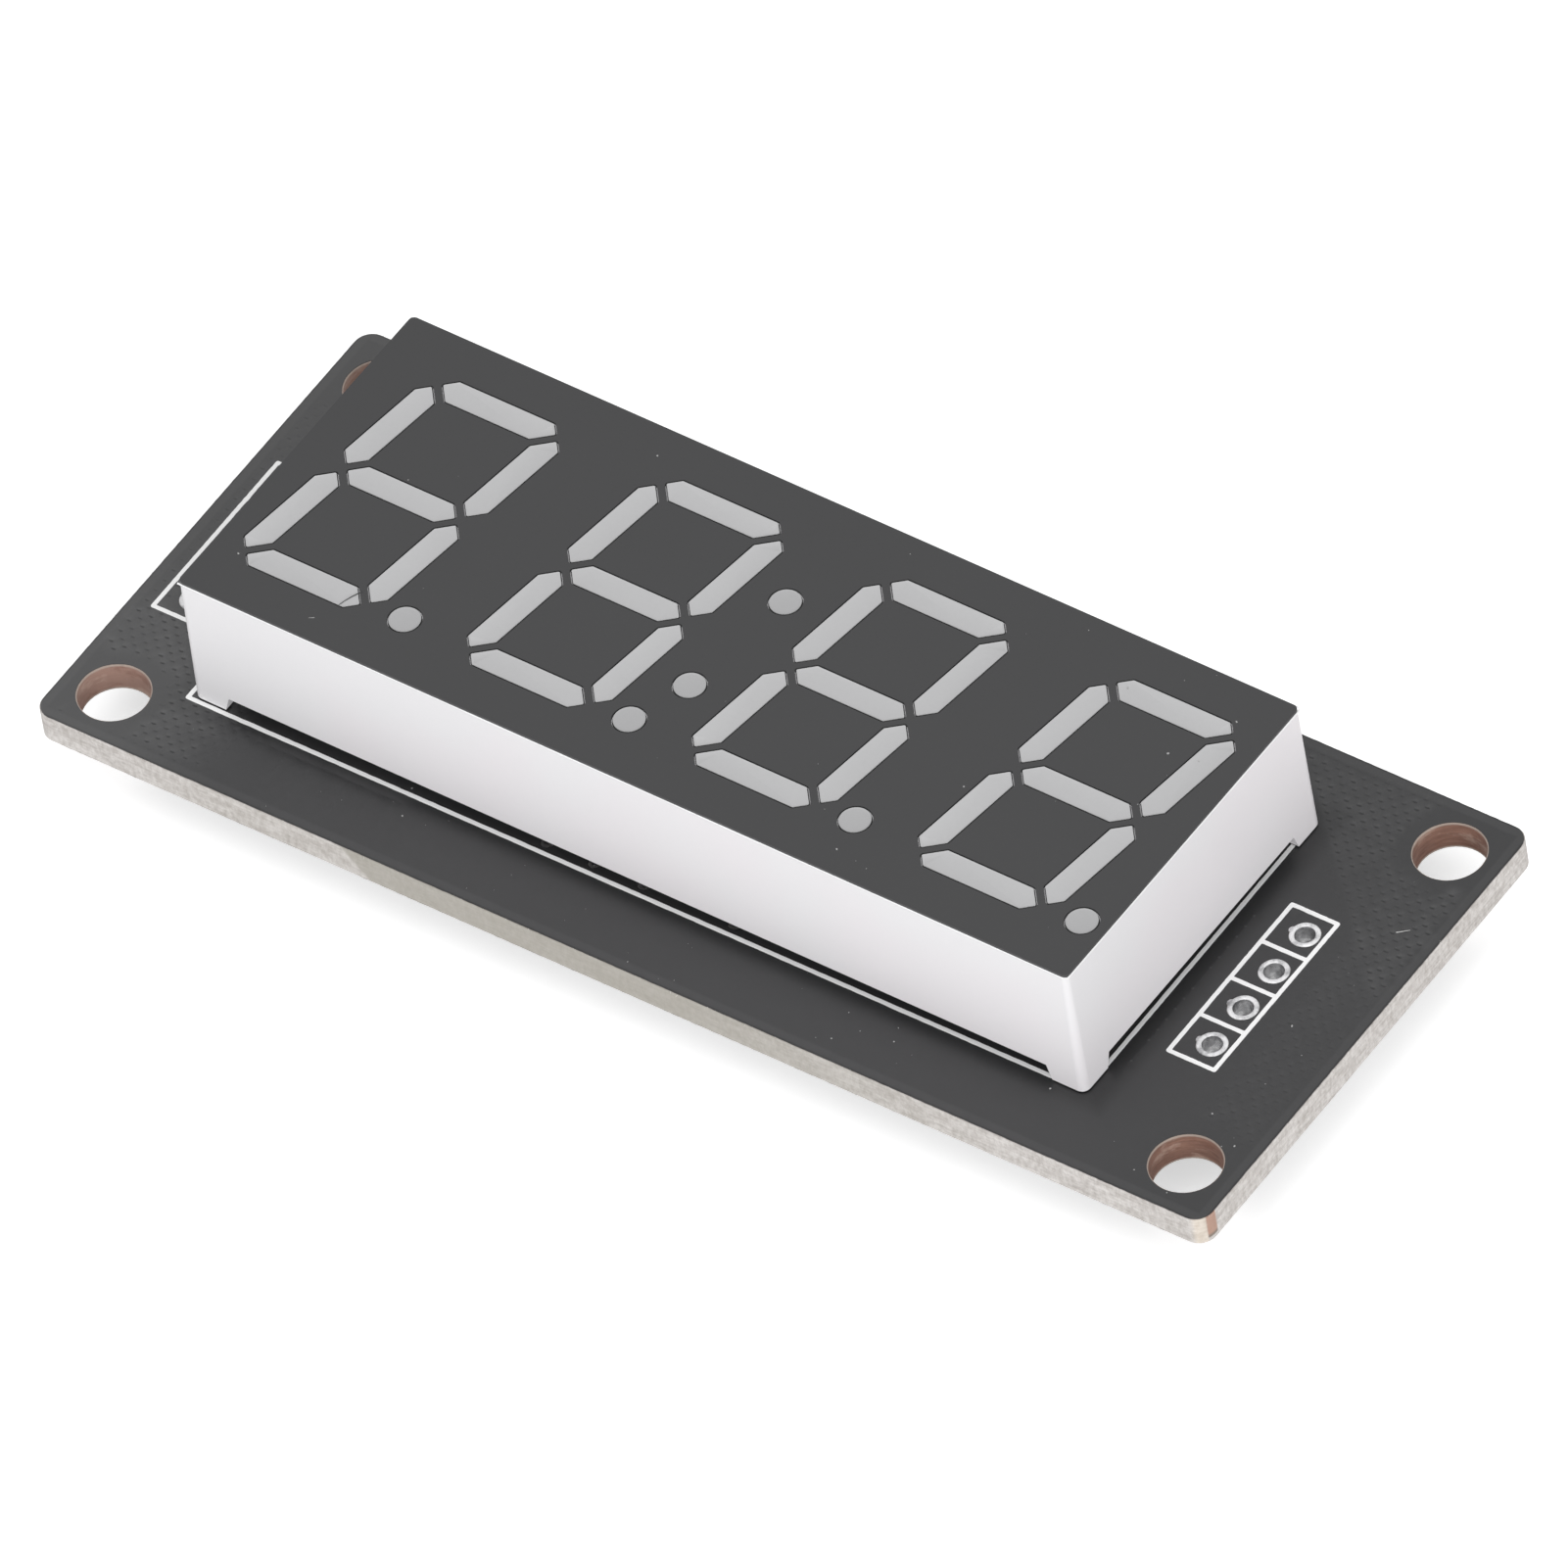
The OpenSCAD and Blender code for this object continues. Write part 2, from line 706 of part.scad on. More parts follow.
printed_circuit_board();
header_lands_right();
header_lands_left();
pin_lands();
via_barrels();
surface_lands();
display_housing();
face_film();
segment_guides();
dot_guides();
resin_backfill();
led_carrier();
led_dies();
display_pins();
pin_solder();
driver_case();
driver_leads();
driver_paddle();
driver_die();
driver_solder();
capacitor_bodies();
capacitor_ends();
resistor_bodies();
resistor_glaze();
resistor_ends();
passive_solder();
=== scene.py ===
"""Seven segment display module: the visual model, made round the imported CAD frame.

Lengths in the code are metres unless a name or a comment says otherwise; MM turns millimetres into metres.
"""

import json
import math
import random

import bmesh
import bpy
from bpy.props import FloatProperty, FloatVectorProperty, IntProperty, PointerProperty
from mathutils import Matrix, Vector, geometry, noise


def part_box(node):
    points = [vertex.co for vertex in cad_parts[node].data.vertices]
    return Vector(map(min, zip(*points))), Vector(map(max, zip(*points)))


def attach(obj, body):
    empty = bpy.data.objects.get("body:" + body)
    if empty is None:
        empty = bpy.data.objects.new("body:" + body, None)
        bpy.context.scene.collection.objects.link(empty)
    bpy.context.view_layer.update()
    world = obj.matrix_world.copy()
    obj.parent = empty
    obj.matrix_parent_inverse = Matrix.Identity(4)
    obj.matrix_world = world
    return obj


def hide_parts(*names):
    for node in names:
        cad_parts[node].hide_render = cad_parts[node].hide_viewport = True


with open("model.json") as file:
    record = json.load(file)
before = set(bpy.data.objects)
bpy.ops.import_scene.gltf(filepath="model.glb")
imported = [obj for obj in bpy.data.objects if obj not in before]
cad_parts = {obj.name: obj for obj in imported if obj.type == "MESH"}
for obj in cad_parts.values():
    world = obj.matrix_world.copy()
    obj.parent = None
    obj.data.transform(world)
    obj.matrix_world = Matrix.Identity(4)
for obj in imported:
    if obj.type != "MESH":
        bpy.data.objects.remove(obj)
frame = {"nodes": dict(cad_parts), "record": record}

bl_info = {
    "name": "Seven Segment Display Module",
    "version": (1, 0, 0),
    "blender": (4, 5, 0),
    "location": "3D View > Sidebar > Display Module",
    "description": "Builds a four-digit seven segment display on its driver board",
    "category": "Object",
}

MM = 0.001
TURN = 2 * math.pi
WANDER_SEED = 1  # without one, the noise would follow the clock
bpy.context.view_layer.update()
NODES = frame["nodes"]
MOUNTS = {m["name"]: m for m in frame["record"]["mounts"]}
SIDES = ("right", "left")

BOARD_LO, BOARD_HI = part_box("printed_circuit_board")
CASE_LO, CASE_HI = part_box("display_housing")
FILM_LO, FILM_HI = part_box("face_film")
CHIP_LO, CHIP_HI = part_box("driver_case")
BOARD_TOP, BOARD_UNDER = BOARD_HI.z, BOARD_LO.z
CASE_MID = (FILM_LO + FILM_HI) / 2
CHIP_MID = (CHIP_LO + CHIP_HI) / 2

BOARD_CORNER_R = 0.9 * MM
TAIL_R = 0.2 * MM  # the narrow end of a teardrop land
MERGE = 1e-7  # points this close are one
LEVEL = 1e-6  # heights this close are the same
SHARP = math.radians(50)  # edges that turn more than this stay sharp
SWING = 1.7  # length of one swing of an uneven edge, in steps of its points


def srgb(*levels):
    """Linear colour of three 0 to 255 screen levels."""
    parts = [level / 255 for level in levels]
    return tuple(p / 12.92 if p <= 0.04045 else ((p + 0.055) / 1.055) ** 2.4 for p in parts)


# ---- Sizes and finishes that a user can change ----


def number(name, text, value, **more):
    return FloatProperty(name=name, description=text, default=value, **more)


def length(name, text, millimetres):
    return number(name, text, millimetres * MM, unit="LENGTH", precision=6)


def angle(name, text, degrees):
    return number(name, text, math.radians(degrees), subtype="ANGLE")


def colour(name, text, level):
    return FloatVectorProperty(name=name, description=text, subtype="COLOR", size=3, default=level)


class ModuleSizes(bpy.types.PropertyGroup):
    mask_t: length("Mask thickness", "Thickness of the solder mask", 0.045)
    mask_inset: length("Mask inset", "Bare laminate left along the board's edges", 0.03)
    mask_relief: length("Mask relief", "Gap between the mask and a land", 0.02)
    weave_pitch: length("Weave pitch", "Distance between two dimples of one thread", 0.72)
    dimple_depth: length("Dimple depth", "Depth of the deepest weave dimples", 0.034)
    silk_t: length("Ink thickness", "Thickness of the printed ink", 0.02)
    silk_line: length("Ink line width", "Width of a printed line", 0.22)
    trace_w: length("Trace width", "Width of a copper trace under the mask", 0.3)
    trace_h: length("Trace height", "How far a trace lifts the mask", 0.03)
    tin_dome: length("Tin dome", "Height of the rounded tin on a ring", 0.05)
    case_lip: length("Case lip", "Thickness of the case's lip round the face film", 0.05)
    resin_play: length("Resin play", "Extra gap between the film and the resin", 0.045)
    rim_w: length("Resin rim", "Width of the raised rim round a segment's resin", 0.1)
    rim_drop: length("Resin dip", "How far the resin sinks inside its rim", 0.022)
    dust_count: IntProperty(name="Dust on the face", description="Dust specks on the face", default=26)
    board_dust: IntProperty(name="Dust on the board", description="Dust specks on the board", default=34)


class ModuleFinish(bpy.types.PropertyGroup):
    mask: colour("Solder mask", "Colour of the solder mask", srgb(60, 60, 61))
    ink: colour("Printed ink", "Colour of the printed ink", srgb(250, 250, 250))
    edge_light: colour("Laminate, light", "Light fibres of the cut laminate", srgb(222, 218, 215))
    edge_dark: colour("Laminate, dark", "Dark fibres of the cut laminate", srgb(172, 166, 161))
    drilled: colour("Drilled laminate", "Walls of the drilled holes", srgb(148, 112, 96))
    case: colour("Case", "Colour of the display's case", srgb(234, 233, 235))
    film: colour("Face film", "Colour of the dark face film", srgb(68, 68, 69))
    resin: colour("Segments", "Colour of the resin in the segments", srgb(190, 190, 191))
    dots: colour("Dots", "Colour of the resin in the dots", srgb(176, 176, 177))
    tin: colour("Tin", "Colour of tinned metal", srgb(226, 226, 227))
    epoxy: colour("Chip", "Colour of the driver chip's case", srgb(44, 44, 46))


class StageSetup(bpy.types.PropertyGroup):
    azimuth: angle("Azimuth", "Turn of the camera round the object", 41.64)
    elevation: angle("Elevation", "Height of the camera above the horizon", 47.50)
    roll: angle("Roll", "Turn of the camera about its own axis", -9.66)
    distance: number("Distance", "Distance of the camera", 1.9566, unit="LENGTH")
    lens: number("Lens", "Focal length in millimetres", 975.9)
    aim_x: length("Aim X", "Point of the board's upper face in the picture's middle", 0.61)
    aim_y: length("Aim Y", "Point of the board's upper face in the picture's middle", -0.50)
    floor: colour("Floor", "Colour of the floor", (0.86, 0.86, 0.86))
    floor_lift: number("Floor lift", "How much the floor is lifted towards white", 0.5)
    sky: number("Sky light", "Strength of the even light", 0.68)
    key: number("Key light", "Power of the soft light above, in watts", 1.05)
    fill: number("Fill light", "Power of the soft light in front, in watts", 4.4)


# ---- Meshes ----


def new_object(name, data):
    obj = bpy.data.objects.new(name, data)
    bpy.context.scene.collection.objects.link(obj)
    return obj


def mesh_object(name, bm):
    mesh = bpy.data.meshes.new(name)
    bm.to_mesh(mesh)
    bm.free()
    return new_object(name, mesh)


def mesh_of(name, verts, edges=(), faces=()):
    mesh = bpy.data.meshes.new(name)
    mesh.from_pydata(verts, edges, faces)
    return mesh


def path_mesh(name, paths):
    """Edges along each path of points."""
    verts, edges = [], []
    for path in paths:
        start = len(verts)
        verts += path
        edges += [(start + i, start + i + 1) for i in range(len(path) - 1)]
    return mesh_of(name, verts, edges)


def raised(points, z):
    return [(x, y, z) for x, y in points]


def plain_mesh(obj):
    """The object's mesh with everything on it applied."""
    graph = bpy.context.evaluated_depsgraph_get()
    graph.update()
    return bpy.data.meshes.new_from_object(obj.evaluated_get(graph))


def add_piece(obj, key):
    """The object rides on the one body and takes a finish."""
    obj.data.materials.clear()
    obj.data.materials.append(material(key))
    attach(obj, "root")


def corners(x0, y0, x1, y1):
    return [(x0, y0), (x1, y0), (x1, y1), (x0, y1)]


def circle(x, y, r, count=40):
    return [(x + r * math.cos(TURN * i / count), y + r * math.sin(TURN * i / count)) for i in range(count)]


def rounded_rect(x0, y0, x1, y1, r, steps=6):
    points = []
    middles = ((x1 - r, y1 - r), (x0 + r, y1 - r), (x0 + r, y0 + r), (x1 - r, y0 + r))
    for start, (cx, cy) in enumerate(middles):
        for i in range(steps + 1):
            a = math.pi / 2 * (start + i / steps)
            points.append((cx + r * math.cos(a), cy + r * math.sin(a)))
    return points


def board_outline(inset):
    return rounded_rect(BOARD_LO.x + inset, BOARD_LO.y + inset, BOARD_HI.x - inset, BOARD_HI.y - inset,
                        BOARD_CORNER_R)


def frame_rect(cx, cy, length, width, line, r=0.08 * MM):
    """Outline and hole of a printed rectangle, from the middle line of its ink."""
    loops = []
    for grow in (line / 2, -line / 2):
        hx, hy = length / 2 + grow, width / 2 + grow
        loops.append(rounded_rect(cx - hx, cy - hy, cx + hx, cy + hy, max(r + grow * 0.3, 0.02 * MM), 3))
    return loops


def wander(loop, step, amount, seed):
    """The loop resampled, with its points moved a little, as a worn or printed edge is."""
    noise.seed_set(WANDER_SEED)
    out = []
    for i, a in enumerate(loop):
        b = loop[(i + 1) % len(loop)]
        count = max(1, round(math.dist(a, b) / step))
        for j in range(count):
            t = j / count
            x, y = a[0] + (b[0] - a[0]) * t, a[1] + (b[1] - a[1]) * t
            shift = noise.noise_vector(Vector((x, y, seed * MM)) / (step * SWING)) * amount
            out.append((x + shift.x, y + shift.y))
    return out


def triangulate(loops, inner=()):
    """Triangles of the first loop without the others, in millimetres for the solver's tolerance."""
    points, faces = [], []
    for loop in loops:
        faces.append(list(range(len(points), len(points) + len(loop))))
        points += [Vector((x / MM, y / MM)) for x, y in loop]
    first_inner = len(points)
    points += [Vector((x / MM, y / MM)) for x, y, _ in inner]
    verts, _, tris, origin, _, owners = geometry.delaunay_2d_cdt(points, [], faces, 0, 1e-5)
    depth = [0.0] * len(verts)
    for i, sources in enumerate(origin):
        for s in sources:
            if s >= first_inner:
                depth[i] = inner[s - first_inner][2]
    kept = []
    for tri, owner in zip(tris, owners):
        if list(owner) == [0]:
            a, b, c = (verts[i] for i in tri)
            kept.append(tri if (b - a).cross(c - a) > 0 else tri[::-1])
    return [v * MM for v in verts], depth, kept


def fill(bm, loops, z, inner=(), flip=False, smooth=True):
    """Faces at one height. inner holds (x, y, rise) points of them."""
    verts, depth, tris = triangulate(loops, inner)
    made = [bm.verts.new((v.x, v.y, z + d)) for v, d in zip(verts, depth)]
    for tri in tris:
        bm.faces.new([made[i] for i in (tri[::-1] if flip else tri)]).smooth = smooth


def wall(bm, loop, low, high):
    """An upright wall along a closed outline."""
    ring_lo, ring_hi = ([bm.verts.new((x, y, z)) for x, y in loop] for z in (low, high))
    for i in range(len(loop)):
        j = (i + 1) % len(loop)
        bm.faces.new((ring_lo[i], ring_lo[j], ring_hi[j], ring_hi[i]))


def plate(bm, outline, holes, low, high, inner=()):
    """A closed plate between two heights. inner holds (x, y, rise) points of its upper face, or of its
    lower face where high is below low."""
    loops = [outline, *holes]
    up = high > low
    fill(bm, loops, high, inner, not up)
    fill(bm, loops, low, (), up)
    for loop in loops:
        wall(bm, loop, low, high)
    bmesh.ops.remove_doubles(bm, verts=bm.verts, dist=MERGE)
    bmesh.ops.recalc_face_normals(bm, faces=bm.faces)
    for edge in bm.edges:
        edge.smooth = len(edge.link_faces) == 2 and edge.calc_face_angle(0) < SHARP


def ink(bm, outline, holes, step, amount, seed, low, high):
    """Printed ink with slightly uneven edges."""
    plate(bm, wander(outline, step, amount, seed), [wander(hole, step, amount, seed + 2) for hole in holes],
          low, high)


def cad_copy(node):
    """A merged copy of a CAD node's mesh."""
    bm = bmesh.new()
    bm.from_mesh(NODES[node].data)
    bmesh.ops.remove_doubles(bm, verts=bm.verts, dist=MERGE)
    return bm


def outer_loops(faces):
    """The outline, as (x, y) points turning left, of each separate group of level faces."""
    following = {}
    chosen = set(faces)
    for face in faces:
        for corner in face.loops:
            if not any(f in chosen for f in corner.edge.link_faces if f is not face):
                following[corner.vert] = corner.link_loop_next.vert
    loops = []
    while following:
        vert = next(iter(following))
        loop = []
        while vert in following:
            loop.append((vert.co.x, vert.co.y))
            vert = following.pop(vert)
        loops.append(loop)
    return loops


def inset_convex(loop, amount):
    """A convex outline that turns left, moved inwards: its points are clipped by each moved side."""
    kept = [Vector(p) for p in loop]
    for a, b in zip(loop, loop[1:] + loop[:1]):
        side = Vector(b) - Vector(a)
        if side.length < 1e-9:
            continue
        inward = Vector((-side.y, side.x)).normalized()
        heights = [(p - Vector(a)).dot(inward) - amount for p in kept]
        clipped = []
        for i, p in enumerate(kept):
            j = (i + 1) % len(kept)
            if heights[i] >= 0:
                clipped.append(p)
            if (heights[i] > 0) != (heights[j] > 0):
                clipped.append(p.lerp(kept[j], heights[i] / (heights[i] - heights[j])))
        kept = clipped
    return [(p.x, p.y) for p in kept]


# ---- Node trees ----


def set_input(socket, value):
    """Links a computed value to a socket, or sets the socket's own value."""
    if isinstance(value, Value):
        socket.id_data.links.new(value.socket, socket)
    elif socket.type == "RGBA":
        socket.default_value = (*value[:3], 1)
    else:
        socket.default_value = value


def add_node(tree, kind, inputs=(), **settings):
    made = tree.nodes.new(kind)
    for key, value in settings.items():
        setattr(made, key, value)
    for key, value in dict(inputs).items():
        set_input(made.inputs[key], value)
    return made


def add(tree, kind, inputs=(), out=0, **settings):
    """A new node's one output that is used."""
    return Value(add_node(tree, kind, inputs, **settings).outputs[out])


class Value:
    """What a node tree computes at one socket, with the sums that the trees need."""

    def __init__(self, socket):
        self.socket = socket
        self.tree = socket.id_data

    def math(self, operation, *others, clamp=False):
        inputs = dict(enumerate((self, *others)))
        return add(self.tree, "ShaderNodeMath", inputs, operation=operation, use_clamp=clamp)

    def __add__(self, other):
        return self.math("ADD", other)

    def __sub__(self, other):
        return self.math("SUBTRACT", other)

    def __mul__(self, other):
        return self.math("MULTIPLY", other)

    def __truediv__(self, other):
        return self.math("DIVIDE", other)

    def __abs__(self):
        return self.math("ABSOLUTE")

    def ramp(self, low, high, to_low=0.0, to_high=1.0, smooth=True):
        return add(self.tree, "ShaderNodeMapRange",
                   {"Value": self, "From Min": low, "From Max": high, "To Min": to_low, "To Max": to_high},
                   "Result", interpolation_type="SMOOTHSTEP" if smooth else "LINEAR")

    def fade(self, place, start, end, to_start=0.0, to_end=1.0):
        """A ramp between two distances from a place, in millimetres."""
        return self.ramp(place + start * MM, place + end * MM, to_start, to_end)

    def mix(self, a, b):
        """Colour a where this is 0, and colour b where it is 1."""
        return add(self.tree, "ShaderNodeMix", {0: self, 6: a, 7: b}, 2, data_type="RGBA")

    def noise(self, scale, detail, roughness):
        return add(self.tree, "ShaderNodeTexNoise",
                   {"Vector": self, "Scale": scale, "Detail": detail, "Roughness": roughness}, "Fac")


def new_tree(kind, name, inputs, outputs):
    """A tree, its inputs as values and its outputs' sockets. A colour's default is a tuple, a count's is
    a whole number, and an input without a default has its socket's kind instead."""
    tree = bpy.data.node_groups.new(name, kind)
    kinds = {tuple: "Color", int: "Int", float: "Float"}
    for label, default in inputs.items():
        socket_kind = kinds.get(type(default), default)
        socket = tree.interface.new_socket(name=label, in_out="INPUT", socket_type="NodeSocket" + socket_kind)
        if type(default) in kinds:
            socket.default_value = (*default, 1) if socket_kind == "Color" else default
    for label, socket_kind in outputs.items():
        tree.interface.new_socket(name=label, in_out="OUTPUT", socket_type="NodeSocket" + socket_kind)
    given = {s.name: Value(s) for s in tree.nodes.new("NodeGroupInput").outputs if s.name}
    return tree, given, tree.nodes.new("NodeGroupOutput").inputs


def object_point(tree, scale=(1, 1, 1), shift=(0, 0, 0)):
    point = add(tree, "ShaderNodeTexCoord", out="Object")
    return add(tree, "ShaderNodeMapping", {"Vector": point, "Scale": scale, "Location": shift})


def object_axes(tree):
    split = add_node(tree, "ShaderNodeSeparateXYZ", {0: add(tree, "ShaderNodeTexCoord", out="Object")})
    return [Value(socket) for socket in split.outputs]


def box_distance(x, y, low, high):
    """How far a point lies outside a level rectangle; inside it the distance is below zero."""
    across, along = (abs(value - (a + b) / 2) - (b - a) / 2
                     for value, a, b in ((x, low.x, high.x), (y, low.y, high.y)))
    return across.math("MAXIMUM", along)


# ---- Materials ----


DUST_TONE = srgb(205, 205, 205)


def make_surface_grain():
    """Patches of tone and a fine grain, for moulded plastic, ink, film and mask."""
    tree, given, out = new_tree(
        "ShaderNodeTree", "surface_grain",
        {"Color": (0.5, 0.5, 0.5), "Patch Scale": 90.0, "Patch Amount": 0.06, "Grain Scale": 9000.0,
         "Grain Amount": 0.03, "Roughness": 0.5, "Roughness Spread": 0.08},
        {"Color": "Color", "Roughness": "Float", "Height": "Float"})
    point = object_point(tree)
    fine = point.noise(given["Grain Scale"], 2, 0.5)
    patch = point.noise(given["Patch Scale"], 4, 0.6) - 0.5
    tone = patch * given["Patch Amount"] + (fine - 0.5) * given["Grain Amount"]
    bright = {"Color": given["Color"], "Value": tone + 1.0}
    set_input(out["Color"], add(tree, "ShaderNodeHueSaturation", bright))
    spread = patch * given["Roughness Spread"]
    set_input(out["Roughness"], spread.math("ADD", given["Roughness"], clamp=True))
    set_input(out["Height"], fine)
    return tree


def make_dust_specks():
    """Sparse specks of dust and lint, laid over a colour."""
    tree, given, out = new_tree(
        "ShaderNodeTree", "dust_specks",
        {"Color": (0.1, 0.1, 0.1), "Dust": (0.7, 0.7, 0.7), "Scale": 420.0, "Share": 0.06, "Strength": 0.7},
        {"Color": "Color"})
    cells = add_node(tree, "ShaderNodeTexVoronoi", {"Vector": object_point(tree), "Scale": given["Scale"]})
    pick = add_node(tree, "ShaderNodeSeparateColor", {0: Value(cells.outputs["Color"])})
    chosen = Value(pick.outputs[0]).math("LESS_THAN", given["Share"])
    reach = Value(pick.outputs[1]).ramp(0.0, 1.0, 0.012, 0.05, smooth=False)
    inside = Value(cells.outputs["Distance"]).math("LESS_THAN", reach)
    set_input(out["Color"], (chosen * inside * given["Strength"]).mix(given["Color"], given["Dust"]))
    return tree


def make_cut_laminate():
    """Streaks of the glass plies on a sawn or routed edge: long in the plane, thin across it."""
    tree, given, out = new_tree(
        "ShaderNodeTree", "cut_laminate",
        {"Light": (0.6, 0.6, 0.6), "Dark": (0.35, 0.35, 0.35), "Ply Height": 0.0002, "Streak Scale": 700.0},
        {"Color": "Color", "Height": "Float"})
    streaks = object_point(tree, (1.1, 1.1, 4.5)).noise(given["Streak Scale"], 6, 0.75)
    scratches = object_point(tree, (6.0, 6.0, 3.0), (0.3, 0, 0)).noise(given["Streak Scale"], 4, 0.7)
    ply = (object_axes(tree)[2] / (given["Ply Height"] / TURN)).math("SINE").ramp(-1, 1)
    mixed = streaks * 0.54 + (scratches * 0.44 + ply * 0.02)
    set_input(out["Color"], mixed.ramp(0.32, 0.68).mix(given["Dark"], given["Light"]))
    set_input(out["Height"], mixed)
    return tree


def make_solder_flow():
    """The slow ripples and dull patches of tin that has run and frozen."""
    tree, given, out = new_tree(
        "ShaderNodeTree", "solder_flow", {"Color": (0.7, 0.7, 0.7), "Scale": 2400.0, "Roughness": 0.3},
        {"Color": "Color", "Roughness": "Float", "Height": "Float"})
    dull = object_point(tree, shift=(0.2, 0.1, 0)).noise(given["Scale"], 5, 0.7)
    set_input(out["Color"], dull.ramp(0.35, 0.75).mix(given["Color"], srgb(150, 150, 152)))
    set_input(out["Roughness"], given["Roughness"] + dull.ramp(0.3, 0.8, 0.0, 0.25))
    set_input(out["Height"], object_point(tree).noise(given["Scale"], 2, 0.5))
    return tree


GROUP_MAKERS = {"surface_grain": make_surface_grain, "dust_specks": make_dust_specks,
                "cut_laminate": make_cut_laminate, "solder_flow": make_solder_flow}


def group(tree, name, inputs):
    """A node group's outputs, by name."""
    shared = bpy.data.node_groups.get(name) or GROUP_MAKERS[name]()
    made = add_node(tree, "ShaderNodeGroup", node_tree=shared)
    for key, value in inputs.items():
        set_input(made.inputs[key], value)
    return {socket.name: Value(socket) for socket in made.outputs}


def grain(tree, tone, roughness, patch, fine, spread):
    """Patches and a fine grain, each as (scale, amount)."""
    return group(tree, "surface_grain", {
        "Color": tone, "Patch Scale": patch[0], "Patch Amount": patch[1], "Grain Scale": fine[0],
        "Grain Amount": fine[1], "Roughness": roughness, "Roughness Spread": spread})


def dusted(tree, tone, scale, share, strength, dust=DUST_TONE):
    return group(tree, "dust_specks", {"Color": tone, "Dust": dust, "Scale": scale, "Share": share,
                                       "Strength": strength})["Color"]


def new_material(name, tone, plain=()):
    """A material, its tree and its shader. plain sets the shader's own sockets."""
    made = bpy.data.materials.new(name)
    made.use_nodes = True
    made.diffuse_color = (*tone[:3], 1)
    shader = next(n for n in made.node_tree.nodes if n.type == "BSDF_PRINCIPLED")
    for key, value in dict(plain).items():
        set_input(shader.inputs[key], value)
    return made, made.node_tree, shader


def dress(shader, tone, got, relief):
    """Gives the shader its colour, and a group's roughness and relief."""
    set_input(shader.inputs["Base Color"], tone)
    if "Roughness" in got:
        set_input(shader.inputs["Roughness"], got["Roughness"])
    bump = {"Height": got["Height"], "Distance": relief, "Strength": 1.0}
    set_input(shader.inputs["Normal"], add(shader.id_data, "ShaderNodeBump", bump))


def grained(name, tone, roughness, patch=(90.0, 0.06), fine=(9000.0, 0.03), spread=0.08,
            relief=0.002 * MM, dust=None, plain=()):
    """A moulded, printed or coated finish with patches, a fine grain and sometimes dust."""
    made, tree, shader = new_material(name, tone, plain)
    got = grain(tree, tone, roughness, patch, fine, spread)
    dress(shader, dusted(tree, got["Color"], *dust) if dust else got["Color"], got, relief)
    return made


def tinned(name, tone, scale, roughness, relief, metal=1.0):
    made, tree, shader = new_material(name, tone, {"Metallic": metal})
    got = group(tree, "solder_flow", {"Color": tone, "Scale": scale, "Roughness": roughness})
    dress(shader, got["Color"], got, relief)
    return made


def drilled_wall(tree, x, z, drilled):
    """The colour of a drilled hole's wall: brown rings, paler to the left, with blotches and a painted
    highlight along its rim.
    """
    rings = object_point(tree, (0.5, 0.5, 5.0)).noise(1300, 4, 0.7)
    tone = rings.ramp(0.22, 0.78).mix(srgb(112, 80, 68), drilled)
    tone = x.fade(0, 6, -6, 0, 0.6).mix(tone, srgb(176, 146, 134))
    blotch = object_point(tree, (1.0, 1.0, 2.0), (0.1, 0, 0)).noise(620, 4, 0.65)
    tone = blotch.ramp(0.52, 0.7, 0, 0.5).mix(tone, srgb(196, 172, 158))
    tone = blotch.ramp(0.46, 0.3, 0, 0.45).mix(tone, srgb(112, 72, 56))
    # Painted highlight: a pale band along the hole's upper and lower edges
    rim = z.fade(BOARD_TOP, -0.14, -0.04, 0, 0.6).math("MAXIMUM", z.fade(BOARD_UNDER, 0.04, 0.14, 0.7, 0))
    return rim.mix(tone, srgb(196, 186, 176))


def laminate():
    """The cut board: fibres on its routed edge, brown drilled walls, and a brown tab scar on one corner."""
    colours = finish()
    made, tree, shader = new_material("cut_glass_laminate", colours.edge_light, {"Roughness": 0.75})
    cut = group(tree, "cut_laminate", {"Light": colours.edge_light, "Dark": colours.edge_dark,
                                       "Ply Height": 0.23 * MM, "Streak Scale": 700.0})
    x, y, z = object_axes(tree)

    # The mounting holes' walls, by their distance from the nearest hole's axis
    centres, hole_r = board_holes()
    dx, dy = abs(x) - centres[-1][0], abs(y) - centres[-1][1]
    in_hole = (dx * dx + dy * dy).math("SQRT").fade(hole_r, 0.05, 0.12, 1, 0)
    tone = in_hole.mix(cut["Color"], drilled_wall(tree, x, z, colours.drilled))

    # The front edge is greyer along its middle, most of all to the right of a slanted line
    tab_x = -14.1 * MM
    middle = (x + z * 0.9).fade(tab_x, 2.2, 2.6, 0.25, 1) * x.fade(0, 2, 24, 1, 0) * x.fade(0, -30, -20)
    shade = middle * y.fade(BOARD_LO.y, 0.1, 0.3, 1, 0) * 0.72
    tone = shade.mix(tone, srgb(160, 156, 146))

    # The front right corner has a pale band and a brown scar that is burnt at its foot
    along = x + y - (BOARD_HI.x + BOARD_LO.y + 0.7 * MM)
    at_corner = (x - y).fade(BOARD_HI.x - BOARD_LO.y, -1.8, -1.4)
    pale = along.fade(0, -1.5, -1.0) * along.fade(0, -0.4, -0.3, 1, 0) * at_corner
    tone = (pale * 0.45).mix(tone, srgb(226, 210, 188))
    scar = at_corner * abs(along).fade(0, 0.42, 0.28) * z.fade(BOARD_UNDER, 0.18, 0.28)
    burnt = z.fade(BOARD_UNDER, 0.5, 0.3, 0, 0.8).mix(srgb(172, 132, 112), srgb(92, 86, 72))
    dress(shader, (scar * 0.85).mix(tone, burnt), cut, 0.02 * MM)
    return made


